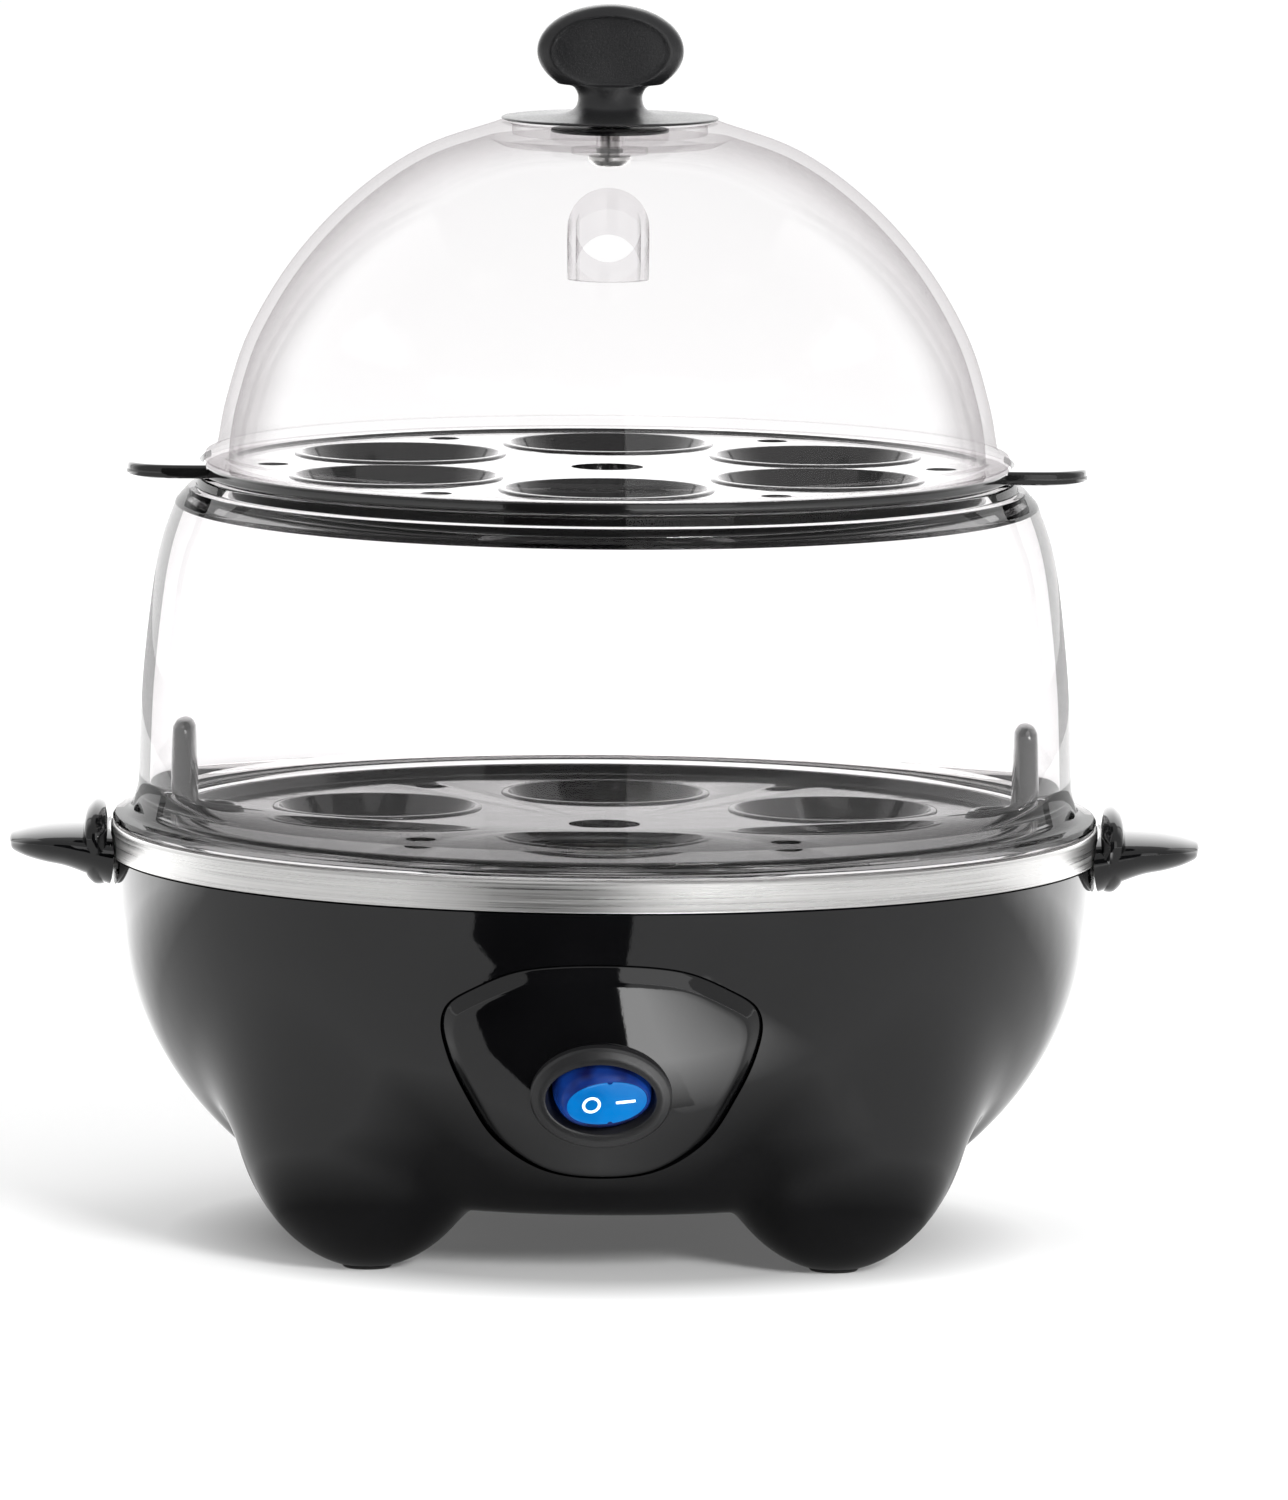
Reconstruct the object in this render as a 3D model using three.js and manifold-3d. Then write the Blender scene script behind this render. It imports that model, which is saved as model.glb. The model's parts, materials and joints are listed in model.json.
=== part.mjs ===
// Two-tier electric egg cooker. Millimetres, +Z up, the switch faces -Y, the origin is on the
// surface it stands on, midway between the four feet.
import * as THREE from "three";
import { mergeVertices } from "three/addons/utils/BufferGeometryUtils.js";
import Module from "manifold-3d";

const wasm = await Module();
wasm.setup();

// ---- Driving dimensions -------------------------------------------------------------------

const GAP = 0.35; // between two pieces that touch
const RIM_RADIUS = 96; // base housing at its rim
const RIM_Z = 75;
const BOWL_DEPTH = 78; // vertical half axis of the bowl's curve
const BOWL_POWER = 2.2;
const FLOOR_Z = 12.3; // underside of the base between the feet
const BASE_WALL = 2.4;

const LOBE_OFFSET = 45; // each foot lobe's centre, from the axis in X and in Y
const LOBE_Z = 38; // centre height, and also its vertical half axis
const LOBE_RADIUS = 27;
const LOBE_BLEND = 8; // where the lobes meet the bowl, fading out towards the floor
const FLOOR_BLEND = 2.4;
const LOBE_SOLID_Z = 6; // the lobes are solid below this height

const RING_RADIUS = 96.3; // steel rim round the water pan
const RING_TOP = 81.4;
const PAN_SHEET = 1;
const PAN_SEAT_RADIUS = 91; // inside of the rim channel
const PAN_LEDGE_Z = 77; // the lower tray rests here
const PAN_WALL_RADIUS = 84;
const PAN_FLOOR_Z = 63;

const HANDLE_TIP = 116.2;
const HANDLE_HALF_WIDTH = 18;
const HANDLE_SCREW_Y = 8;
const HANDLE_SCREW_Z = 73.5;
const HANDLE_SCREW_SEAT = 91.7; // under the screw heads, inside the base's wall

const PANEL_TILT = THREE.MathUtils.degToRad(26); // the panel's face leans out at its top
const PANEL_CENTRE = new THREE.Vector3(0, -88.6, 39.9);
const PANEL_THICKNESS = 2.6;
const PANEL_BEVEL = 2.2;
const PANEL_PROUD = [1, 2.2]; // above the bowl, at the panel's top and at its bottom
const BEZEL_HALF = [13.5, 11.4];
const BEZEL_TOP = 2.3; // above the panel frame's plane
const SWITCH_OPENING = [10.1, 7.4];
const SWITCH_DEPTH = 17;
const ROCKER_PIVOT_DEPTH = 2.7; // below the panel's face
const ROCKER_REST = THREE.MathUtils.degToRad(11);
const ROCKER_PIN_RADIUS = 1.1;
const ROCKER_PIN_REACH = 8;

const WALL = 2.2; // clear housing and lid
const HOUSING_FLANGE_TOP = 83;
const FOOT_BORE = 88.2; // the lower tray's rim centres the housing here
const NECK_RADIUS = 80;
const NECK_TOP = 149.2;
const NECK_BORE = 76.6;

const TRAY_SHEET = 1.8;
const LOWER_TRAY_Z = 79.2; // underside of the lower tray's plate
const LOWER_TRAY_RADIUS = 86.8;
const LOWER_SOCKET_RING = 52;
const LIFTING_POST_X = 82.2;
const FINGER_HOLE_X = 75.4; // a raised ring beside each post
const UPPER_TRAY_Z = 149.2;
const UPPER_SKIRT_Z = 145.4; // bottom of the skirt that centres the tray in the housing's neck
const UPPER_TRAY_RADIUS = 79;
const UPPER_SOCKET_RING = 47;
const SOCKET_COUNT = 6;
const SOCKET_TOP = 19.5;
const SOCKET_THROAT = 16;
const SOCKET_DROP = 5;
const TAB_REACH = 93.5;
const TAB_HALF_WIDTH = 16.5;

const LID_FLANGE_RADIUS = 78.5;
const LID_FLANGE_Z = 151.9;
const LID_TOP_Z = 218.4;
const LID_RECESS_RADIUS = 19;
const LID_RECESS_DROP = 2.6;
const VENT_Y = -53;
const VENT_OUTER = 7.8;
const VENT_BORE = 6.2;

const KNOB_FLANGE_RADIUS = 21.1;
const KNOB_FLANGE_Z = 218.75;
const KNOB_TOP = 241.1;
const KNOB_HALF_WIDTH = 14.25;

const STEPS = 32; // sides of the large turned pieces
const SMALL_STEPS = 8; // sides of screws and other small turned pieces

// ---- Geometry helpers ---------------------------------------------------------------------

// A closed mesh from a list of points and triangles, as a solid with its faces pointing out.
function solidFrom(positions, triangles) {
  const make = (faces) =>
    new wasm.Manifold(new wasm.Mesh({ numProp: 3, vertProperties: positions, triVerts: faces }));
  const solid = make(triangles);
  if (solid.volume() >= 0) {
    return solid;
  }
  const turned = triangles.slice();
  for (let i = 0; i < turned.length; i += 3) {
    turned[i + 1] = triangles[i + 2];
    turned[i + 2] = triangles[i + 1];
  }
  return make(turned);
}

// A three.js geometry as a solid.
function solid(geometry) {
  const bare = new THREE.BufferGeometry();
  bare.setAttribute("position", geometry.getAttribute("position"));
  bare.setIndex(geometry.getIndex());
  const merged = mergeVertices(bare, 1e-4);
  const index = merged.getIndex().array;
  const kept = [];
  for (let i = 0; i < index.length; i += 3) {
    const [a, b, c] = index.slice(i, i + 3);
    if (a !== b && b !== c && c !== a) {
      kept.push(a, b, c);
    }
  }
  return solidFrom(merged.getAttribute("position").array, new Uint32Array(kept));
}

// A solid as a three.js geometry.
function geometryOf(made) {
  const mesh = made.getMesh();
  const geometry = new THREE.BufferGeometry();
  geometry.setAttribute("position", new THREE.BufferAttribute(mesh.vertProperties, 3));
  geometry.setIndex(new THREE.BufferAttribute(mesh.triVerts, 1));
  const flat = geometry.toNonIndexed();
  flat.computeVertexNormals();
  return flat;
}

// A profile of [radius, height] points turned about Z. It starts and ends on the axis, or closes.
function turned(profile, steps = STEPS) {
  const points = profile.map(([r, z]) => new THREE.Vector2(r, z));
  return solid(new THREE.LatheGeometry(points, steps).rotateX(Math.PI / 2));
}

// The same for a ring, whose profile closes on itself.
function turnedRing(profile, steps = STEPS) {
  return turned([...profile, profile[0]], steps);
}

function cylinder(radius, low, high, steps = SMALL_STEPS) {
  return turned([[0, low], [radius, low], [radius, high], [0, high]], steps);
}

function block(width, depth, height) {
  return solid(new THREE.BoxGeometry(width, depth, height));
}

// A surface through rings of equal length, closed at both ends by a fan.
function loft(rings) {
  const count = rings[0].length;
  const positions = [];
  const faces = [];
  rings.flat().forEach((p) => positions.push(p[0], p[1], p[2]));
  for (let i = 0; i + 1 < rings.length; i += 1) {
    for (let j = 0; j < count; j += 1) {
      const a = i * count + j;
      const b = i * count + ((j + 1) % count);
      faces.push(a, b, a + count, b, b + count, a + count);
    }
  }
  const cap = (ring, first, flip) => {
    const centre = [0, 1, 2].map((k) => ring.reduce((sum, p) => sum + p[k], 0) / count);
    const middle = positions.length / 3;
    positions.push(...centre);
    for (let j = 0; j < count; j += 1) {
      const a = first + j;
      const b = first + ((j + 1) % count);
      faces.push(...(flip ? [a, b, middle] : [b, a, middle]));
    }
  };
  cap(rings[0], 0, false);
  cap(rings[rings.length - 1], (rings.length - 1) * count, true);
  return solidFrom(new Float32Array(positions), new Uint32Array(faces));
}

// Points of an ellipse, or of a squarer oval with a power above 2, in the plane at height z.
function oval(halfX, halfY, z, { power = 2, steps = 20, x = 0, y = 0 } = {}) {
  return Array.from({ length: steps }, (_, i) => {
    const angle = (2 * Math.PI * i) / steps;
    const along = (value) => Math.sign(value) * Math.abs(value) ** (2 / power);
    return [x + halfX * along(Math.cos(angle)), y + halfY * along(Math.sin(angle)), z];
  });
}

// Points along a smooth curve through the given [radius, height] points.
function smooth(points, steps) {
  const curve = new THREE.SplineCurve(points.map(([r, z]) => new THREE.Vector2(r, z)));
  return curve.getPoints(steps).map((p) => [p.x, p.y]);
}

function arc(r, z, radius, from, to, steps = 4) {
  return Array.from({ length: steps + 1 }, (_, i) => {
    const angle = THREE.MathUtils.degToRad(from + ((to - from) * i) / steps);
    return [r + radius * Math.cos(angle), z + radius * Math.sin(angle)];
  });
}

function moved(made, x, y, z) {
  return made.translate([x, y, z]);
}

function joined(parts) {
  return parts.reduce((all, part) => all.add(part));
}

function cut(from, parts) {
  return parts.reduce((left, part) => left.subtract(part), from);
}

// Turns each [x, y] position round the axis, count times.
function around(count, radius, start = 0) {
  return Array.from({ length: count }, (_, i) => {
    const angle = start + (2 * Math.PI * i) / count;
    return [radius * Math.cos(angle), radius * Math.sin(angle)];
  });
}

// A screw that points up: head below, shank above, its head's underside at z = 0.
function screw(headRadius, headHeight, shankRadius, length) {
  return turned([
    [0, -headHeight],
    [headRadius, -headHeight],
    [headRadius, 0],
    [shankRadius, 0],
    [shankRadius, length - shankRadius],
    [0, length],
  ], SMALL_STEPS);
}

// A round lead along a smooth curve.
function lead(points, radius = 0.9) {
  const path = new THREE.CatmullRomCurve3(points.map((p) => new THREE.Vector3(...p)));
  const section = new THREE.Shape(
    around(6, radius).map(([x, y]) => new THREE.Vector2(x, y)),
  );
  const steps = Math.max(8, Math.round(path.getLength() / 9));
  const options = { steps, bevelEnabled: false, extrudePath: path };
  return solid(new THREE.ExtrudeGeometry(section, options));
}

// ---- Materials ----------------------------------------------------------------------------

const glossBlack = { color: 0x0b0b0c, roughness: 0.16, metalness: 0 };
const satinBlack = { color: 0x161617, roughness: 0.5, metalness: 0 };
const clear = { color: 0xf4f2f3, roughness: 0.05, metalness: 0, transparent: true, opacity: 0.3 };
const steel = { color: 0xc9c8c6, roughness: 0.3, metalness: 1 };
const brass = { color: 0xb89a55, roughness: 0.35, metalness: 1 };
const rubber = { color: 0x1a1a1a, roughness: 0.85, metalness: 0 };
const litBlue = { color: 0x0a6fd0, roughness: 0.2, metalness: 0 };
const ceramicWhite = { color: 0xe6e2d8, roughness: 0.6, metalness: 0 };
const leadRed = { color: 0x8a1c1c, roughness: 0.6, metalness: 0 };
const leadBlue = { color: 0x1c3f8a, roughness: 0.6, metalness: 0 };
const leadGreen = { color: 0x3c7a2a, roughness: 0.6, metalness: 0 };

const cooker = new THREE.Group();

function add(name, made, finish, place = cooker) {
  const mesh = new THREE.Mesh(geometryOf(made), new THREE.MeshStandardMaterial(finish));
  mesh.name = name;
  place.add(mesh);
  return mesh;
}

// ---- Base housing: a bowl blended into four egg-shaped feet ---------------------------------

function smoothMin(a, b, reach) {
  const mix = Math.max(reach - Math.abs(a - b), 0) / reach;
  return Math.min(a, b) - (mix * mix * reach) / 4;
}

// Roughly the distance from a point to the base's outer surface, negative inside.
function baseField(x, y, z) {
  const radius = Math.hypot(x, y);
  const below = Math.max(RIM_Z - z, 0);
  const share =
    ((radius / RIM_RADIUS) ** BOWL_POWER + (below / BOWL_DEPTH) ** BOWL_POWER) ** (1 / BOWL_POWER);
  const bowl = Math.hypot(radius, below) * (1 - 1 / Math.max(share, 1e-6));
  const floored = -smoothMin(-bowl, -(FLOOR_Z - z), FLOOR_BLEND);
  const across = Math.hypot(Math.abs(x) - LOBE_OFFSET, Math.abs(y) - LOBE_OFFSET);
  const up = z - LOBE_Z;
  const size = Math.max(Math.hypot(across / LOBE_RADIUS, up / LOBE_Z), 1e-6);
  const lobe = Math.hypot(across, up) * (1 - 1 / size);
  const high = THREE.MathUtils.smoothstep(z, FLOOR_Z, FLOOR_Z + 18);
  return smoothMin(floored, lobe, FLOOR_BLEND + (LOBE_BLEND - FLOOR_BLEND) * high);
}

// Rays at these angles below level are closest together where the floor and the feet turn.
const rayFalls = [12, 21, 29, 36, 42, 47, 51.5, 56, 60.5, 68, 79];

// The surface at the given depth inside baseField, met by rays from a point above the rim.
function baseShape(inset, topZ, columns) {
  const eye = RIM_Z + 5;
  const first = Math.atan2(topZ - eye, RIM_RADIUS - inset);
  const falls = [first, ...rayFalls.map((fall) => -THREE.MathUtils.degToRad(fall))];
  return loft(falls.map((fall, i) => {
    const ring = [];
    for (let j = 0; j < columns; j += 1) {
      const turn = (2 * Math.PI * j) / columns;
      const way = [
        Math.cos(fall) * Math.cos(turn),
        Math.cos(fall) * Math.sin(turn),
        Math.sin(fall),
      ];
      let near = 20;
      let far = 150;
      for (let k = 0; k < 40; k += 1) {
        const middle = (near + far) / 2;
        const inside =
          baseField(way[0] * middle, way[1] * middle, eye + way[2] * middle) < -inset;
        if (inside) {
          near = middle;
        } else {
          far = middle;
        }
      }
      ring.push([way[0] * near, way[1] * near, i === 0 ? topZ : eye + way[2] * near]);
    }
    return ring;
  }));
}

const footPlaces = [
  ["front_left", -1, -1],
  ["front_right", 1, -1],
  ["rear_left", -1, 1],
  ["rear_right", 1, 1],
];
const FOOT_PAD_RADIUS = 4.8;
const FOOT_PAD_HEIGHT = 3.2;
const COVER_RADIUS = 32.5;
const COVER_SHEET = 1.6;
const COVER_SCREW_RING = 27;
const SERVICE_OPENING = 20;
const PLATE_SCREW_RING = 62;
const PLATE_POST_TOP = 56.6;
const CLAMP_Y = 51.5;
const CLAMP_SCREW_X = 8;
const coverScrewPlaces = around(4, COVER_SCREW_RING);
const plateScrewPlaces = around(4, PLATE_SCREW_RING).filter((_, i) => i !== 3);
const GLAND_TILT = THREE.MathUtils.degToRad(25);
const GLAND_CENTRE = [0, 88, 40];
const GLAND_BORE = 3.2;

// A group whose local +Z is the panel's outward normal and whose local +Y runs up its face.
const panelPlace = new THREE.Group();
panelPlace.position.copy(PANEL_CENTRE);
panelPlace.rotation.x = Math.PI / 2 + PANEL_TILT;
cooker.add(panelPlace);

function inPanelFrame(made) {
  return made
    .rotate([90 + THREE.MathUtils.radToDeg(PANEL_TILT), 0, 0])
    .translate(PANEL_CENTRE.toArray());
}

// Half of the panel's outline, a rounded triangle with its widest part above the switch.
const panelSide = [
  [0, 26.1],
  [15.5, 24.3],
  [24.5, 19.8],
  [29.4, 15.8],
  [30.6, 11.8],
  [29.3, 5.1],
  [25.7, -3.4],
  [20.1, -13.5],
  [10.8, -21],
  [0, -22.8],
];

// The outline moved in by an offset, flat at height z of the panel frame.
function panelRing(offset, height, steps = 30) {
  const mirrored = panelSide.slice(1, -1).reverse().map(([x, y]) => [-x, y]);
  const points = [...panelSide, ...mirrored].map(([x, y]) => new THREE.Vector3(x, y, 0));
  const curve = new THREE.CatmullRomCurve3(points, true, "centripetal");
  const ring = curve.getSpacedPoints(steps).slice(0, steps);
  return ring.map((p, i) => {
    const before = ring[(i + steps - 1) % steps];
    const after = ring[(i + 1) % steps];
    const along = new THREE.Vector2(after.x - before.x, after.y - before.y).normalize();
    const x = p.x + along.y * offset;
    const y = p.y - along.x * offset;
    return [x, y, height(x, y)];
  });
}

function baseHousing() {
  const shell = baseShape(0, RIM_Z, 48).subtract(
    baseShape(BASE_WALL, RIM_Z + 7, 32).intersect(
      moved(block(300, 300, 200), 0, 0, 100 + LOBE_SOLID_Z),
    ),
  );
  const spigot = turnedRing([[93, 71], [94.8, 71], [94.8, RING_TOP - 1.3], [93, RING_TOP - 1.3]]);
  const bosses = coverScrewPlaces.map(([x, y]) => moved(cylinder(3.6, FLOOR_Z + 1, 23), x, y, 0));
  const posts = plateScrewPlaces.map(([x, y]) =>
    moved(cylinder(4.3, FLOOR_Z + 1, PLATE_POST_TOP), x, y, 0),
  );
  const clampBosses = [-1, 1].map((side) =>
    moved(cylinder(3.2, FLOOR_Z + 1, 17.9), side * CLAMP_SCREW_X, CLAMP_Y, 0),
  );
  const openings = [
    cylinder(SERVICE_OPENING, 5, 18, 24),
    inPanelFrame(loft([panelRing(0, () => -14), panelRing(0, () => 20)])),
    moved(cylinder(5.6, -12, 12, 14).rotate([-90 - THREE.MathUtils.radToDeg(GLAND_TILT), 0, 0]), ...GLAND_CENTRE),
  ];
  const footRecesses = footPlaces.map(([, x, y]) =>
    moved(cylinder(FOOT_PAD_RADIUS + GAP, -1, FOOT_PAD_HEIGHT + GAP, 16),
      x * LOBE_OFFSET, y * LOBE_OFFSET, 0),
  );
  const pilots = [
    ...coverScrewPlaces.map(([x, y]) => moved(cylinder(1.8, 10, 21.5), x, y, 0)),
    ...plateScrewPlaces.map(([x, y]) => moved(cylinder(2.1, 10, 60), x, y, 0)),
    ...plateScrewPlaces.map(([x, y]) => moved(cylinder(3.7, 10, 18), x, y, 0)),
    ...[-1, 1].map((side) => moved(cylinder(1.5, 15.5, 25), side * CLAMP_SCREW_X, CLAMP_Y, 0)),
  ];
  const handleHoles = [-1, 1].map((side) =>
    moved(cylinder(1.6, 88, 99).rotate([0, 90, 0]), 0, side * HANDLE_SCREW_Y, HANDLE_SCREW_Z),
  );
  const leftHoles = handleHoles.map((hole) => hole.rotate([0, 0, 180]));
  return cut(joined([shell, spigot, ...bosses, ...posts, ...clampBosses]), [
    ...openings,
    ...footRecesses,
    ...pilots,
    ...handleHoles,
    ...leftHoles,
  ]);
}

add("base_housing", baseHousing(), glossBlack);

footPlaces.forEach(([place, x, y]) => {
  const pad = turned([
    [0, 0],
    [FOOT_PAD_RADIUS - 0.7, 0],
    [FOOT_PAD_RADIUS, 0.7],
    [FOOT_PAD_RADIUS, FOOT_PAD_HEIGHT],
    [0, FOOT_PAD_HEIGHT],
  ], 16);
  const mesh = add(`rubber_foot_${place}`, pad, rubber);
  mesh.position.set(x * LOBE_OFFSET, y * LOBE_OFFSET, 0);
});

// ---- Bottom cover and its screws ------------------------------------------------------------

const COVER_TOP = FLOOR_Z - GAP;

function bottomCover() {
  const disc = turned([
    [0, COVER_TOP - COVER_SHEET],
    [COVER_RADIUS - 1, COVER_TOP - COVER_SHEET],
    [COVER_RADIUS, COVER_TOP - COVER_SHEET + 0.6],
    [COVER_RADIUS, COVER_TOP],
    [0, COVER_TOP],
  ], 24);
  const plugRadius = SERVICE_OPENING - GAP;
  const plug = turnedRing([[16.5, COVER_TOP - 1], [plugRadius, COVER_TOP - 1],
    [plugRadius, COVER_TOP + 2.8], [16.5, COVER_TOP + 2.8]], 24);
  const slots = [-8, 0, 8].map((x) => moved(block(2, 20, 8), x, 0, COVER_TOP));
  const holes = coverScrewPlaces.map(([x, y]) => moved(cylinder(1.8, 5, 20), x, y, 0));
  return cut(disc.add(plug), [...slots, ...holes]);
}

add("bottom_cover", bottomCover(), satinBlack);
coverScrewPlaces.forEach(([x, y], i) => {
  const mesh = add(`cover_screw_${i + 1}`, screw(3, 1.6, 1.4, 9), steel);
  mesh.position.set(x, y, COVER_TOP - COVER_SHEET - GAP);
});

// ---- Side handles, each held by two screws from inside -------------------------------------

const HANDLE_ROOT = RING_RADIUS + 0.4;
// Along the handle: reach from the axis, half width, heights of crown and underside.
const handleSections = [
  [92, 17, 80.6, 67.4],
  [97, 17.4, 80.9, 69],
  [101, 17.8, 81.1, 70.9],
  [105, HANDLE_HALF_WIDTH, 81.1, 72.4],
  [109, 17, 80.8, 73.2],
  [112.5, 14, 80.1, 74.1],
  [115.1, 9, 79.1, 75.2],
  [HANDLE_TIP, 4, 78.1, 76.5],
];
// The raised collar round the handle's root, in the same terms.
const collarSections = [
  [96.6, 16.4, 84.2, 69.6],
  [97.6, 17.8, 85.3, 68.7],
  [99.2, 18.2, 85.6, 68.9],
  [100.4, 17.8, 85, 69.6],
  [101.2, 16.8, 83.6, 70.8],
];

function handleSection([reach, halfWidth, crown, under]) {
  const edge = under + (crown - under) * 0.62;
  return Array.from({ length: 14 }, (_, i) => {
    const angle = (2 * Math.PI * i) / 14;
    const up = Math.sin(angle);
    const across = Math.sign(Math.cos(angle)) * Math.abs(Math.cos(angle)) ** 0.75;
    return [reach, halfWidth * across, edge + up * (up > 0 ? crown - edge : edge - under)];
  });
}

function handle() {
  const wing = loft(handleSections.map(handleSection));
  const collar = loft(collarSections.map(handleSection));
  const ringSide = cylinder(HANDLE_ROOT, 40, RING_TOP, 48);
  const flangeSide = cylinder(HANDLE_ROOT + 0.6, RING_TOP - 1, 120, 48);
  const pilots = [-1, 1].map((side) =>
    moved(cylinder(1.55, 90, 100.6).rotate([0, 90, 0]), 0, side * HANDLE_SCREW_Y, HANDLE_SCREW_Z),
  );
  return cut(wing.add(collar), [ringSide, flangeSide, ...pilots]);
}

["right", "left"].forEach((side, i) => {
  const place = new THREE.Group();
  place.rotation.z = Math.PI * i;
  cooker.add(place);
  add(`${side}_handle`, handle(), glossBlack, place);
  [-1, 1].forEach((along, k) => {
    const name = `${side}_handle_screw_${k + 1}`;
    const mesh = add(name, screw(2, 1.3, 1.2, 8.3), steel, place);
    mesh.rotation.y = Math.PI / 2;
    mesh.position.set(HANDLE_SCREW_SEAT, along * HANDLE_SCREW_Y, HANDLE_SCREW_Z);
  });
});

// ---- Switch panel, switch and rocker -------------------------------------------------------

// Height, in the panel's frame, of the surface that lies the given depth inside the bowl.
function bowlHeight(x, y, depth) {
  const point = new THREE.Vector3();
  const tilt = Math.PI / 2 + PANEL_TILT;
  let low = -20;
  let high = 20;
  for (let k = 0; k < 30; k += 1) {
    const middle = (low + high) / 2;
    point.set(x, y, middle).applyAxisAngle(new THREE.Vector3(1, 0, 0), tilt).add(PANEL_CENTRE);
    if (baseField(point.x, point.y, point.z) < -depth) {
      low = middle;
    } else {
      high = middle;
    }
  }
  return low;
}

// The face follows the bowl, a little proud of it and more so towards its bottom.
function panelFace(x, y) {
  const low = 1 - THREE.MathUtils.smoothstep(y, -22, 22);
  return bowlHeight(x, y, -PANEL_PROUD[0] - (PANEL_PROUD[1] - PANEL_PROUD[0]) * low);
}

function switchPanel() {
  const plate = loft([
    panelRing(GAP, (x, y) => bowlHeight(x, y, PANEL_THICKNESS)),
    panelRing(GAP, (x, y) => bowlHeight(x, y, 0.2)),
    panelRing(PANEL_BEVEL, panelFace),
    panelRing(8, panelFace),
    panelRing(14, panelFace),
  ]);
  const hole = loft([oval(11.4, 8.9, -9), oval(11.4, 8.9, 9)]);
  return plate.subtract(hole);
}

// Underside of the bezel, clear of the face all the way round.
const bezelSeat =
  GAP + Math.max(...oval(...BEZEL_HALF, 0, { steps: 24 }).map(([x, y]) => panelFace(x, y)));

function switchBody() {
  const bezel = loft([
    oval(BEZEL_HALF[0], BEZEL_HALF[1], bezelSeat, { steps: 24 }),
    oval(BEZEL_HALF[0], BEZEL_HALF[1], BEZEL_TOP - 0.9, { steps: 24 }),
    oval(BEZEL_HALF[0] - 1, BEZEL_HALF[1] - 1, BEZEL_TOP, { steps: 24 }),
  ]);
  const body = loft([oval(11, 8.5, -SWITCH_DEPTH), oval(11, 8.5, bezelSeat + 0.2)]);
  const cavity = loft([
    oval(...SWITCH_OPENING, -SWITCH_DEPTH + 4),
    oval(...SWITCH_OPENING, BEZEL_TOP - 1),
    oval(SWITCH_OPENING[0] + 0.6, SWITCH_OPENING[1] + 0.6, BEZEL_TOP + 0.2),
  ]);
  const pinSeats = cylinder(ROCKER_PIN_RADIUS + 0.3, -9, 9, 16).rotate([90, 0, 0]);
  return cut(bezel.add(body), [cavity, moved(pinSeats, 0, 0, -ROCKER_PIVOT_DEPTH)]);
}

// The rocker in its own frame: it turns on pins along Y, and its oval cap looks along +Z.
function rockerShape() {
  const pins = cylinder(ROCKER_PIN_RADIUS, -ROCKER_PIN_REACH, ROCKER_PIN_REACH, 16);
  const cap = loft([
    oval(5, 4.5, -6),
    oval(8.6, 6.6, -3.2),
    oval(9.1, 6.9, 0),
    oval(8.9, 6.8, 3.4),
    oval(8.1, 5.8, 5.6),
    oval(7.5, 4.9, 6.1),
  ]);
  return cap.add(pins.rotate([90, 0, 0]));
}

add("switch_panel", switchPanel(), glossBlack, panelPlace);
add("switch_body", switchBody(), satinBlack, panelPlace);
const rocker = add("rocker", rockerShape(), litBlue, panelPlace);
rocker.position.z = -ROCKER_PIVOT_DEPTH;
rocker.rotation.y = ROCKER_REST;
[-6, 0, 6].forEach((x, i) => {
  const spade = add(`switch_terminal_${i + 1}`, block(0.8, 6.3, 7), brass, panelPlace);
  spade.position.set(x, 0, -SWITCH_DEPTH - GAP - 3.5);
});

// ---- Heating plate: a steel pan whose turned-over rim is the bright band round the base -----

const PAN_UNDER = PAN_FLOOR_Z - PAN_SHEET;
const STUD_X = 17;

function heatingPlate() {
  const pan = turned([
    [0, PAN_UNDER],
    [76, PAN_UNDER],
    [81, PAN_UNDER + 1.6],
    [83.6, PAN_UNDER + 6],
    [84.2, PAN_LEDGE_Z - PAN_SHEET],
    [PAN_SEAT_RADIUS + PAN_SHEET, PAN_LEDGE_Z - PAN_SHEET],
    [PAN_SEAT_RADIUS + PAN_SHEET, RING_TOP - PAN_SHEET],
    [RING_RADIUS - PAN_SHEET, RING_TOP - PAN_SHEET],
    [RING_RADIUS - PAN_SHEET, RIM_Z + GAP],
    [RING_RADIUS, RIM_Z + GAP],
    [RING_RADIUS, RING_TOP - 0.7],
    [RING_RADIUS - 0.7, RING_TOP],
    [PAN_SEAT_RADIUS, RING_TOP],
    [PAN_SEAT_RADIUS, PAN_LEDGE_Z],
    [PAN_WALL_RADIUS - 0.6, PAN_LEDGE_Z],
    [82.6, PAN_FLOOR_Z + 5.6],
    [80.2, PAN_FLOOR_Z + 1.5],
    [75.8, PAN_FLOOR_Z],
    [0, PAN_FLOOR_Z],
  ]);
  const weldBosses = plateScrewPlaces.map(([x, y]) =>
    moved(cylinder(3.6, PLATE_POST_TOP + GAP, PAN_UNDER + 0.5), x, y, 0),
  );
  const bores = plateScrewPlaces.map(([x, y]) => moved(cylinder(2.1, 50, PAN_UNDER - 0.6), x, y, 0));
  const studs = [-1, 1].map((side) => moved(cylinder(1.7, 50, PAN_UNDER + 0.5), side * STUD_X, 0, 0));
  return cut(joined([pan, ...weldBosses, ...studs]), bores);
}

add("heating_plate", heatingPlate(), steel);
plateScrewPlaces.forEach(([x, y], i) => {
  const mesh = add(`plate_screw_${i + 1}`, screw(3.2, 2, 1.7, 42.5), steel);
  mesh.position.set(x, y, 18 - GAP);
});

// ---- Heater, thermostat and fuse under the plate -------------------------------------------

const ELEMENT_RADIUS = 34;
const ELEMENT_TUBE = 3.6;
const ELEMENT_Z = PAN_UNDER - GAP - ELEMENT_TUBE;

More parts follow.
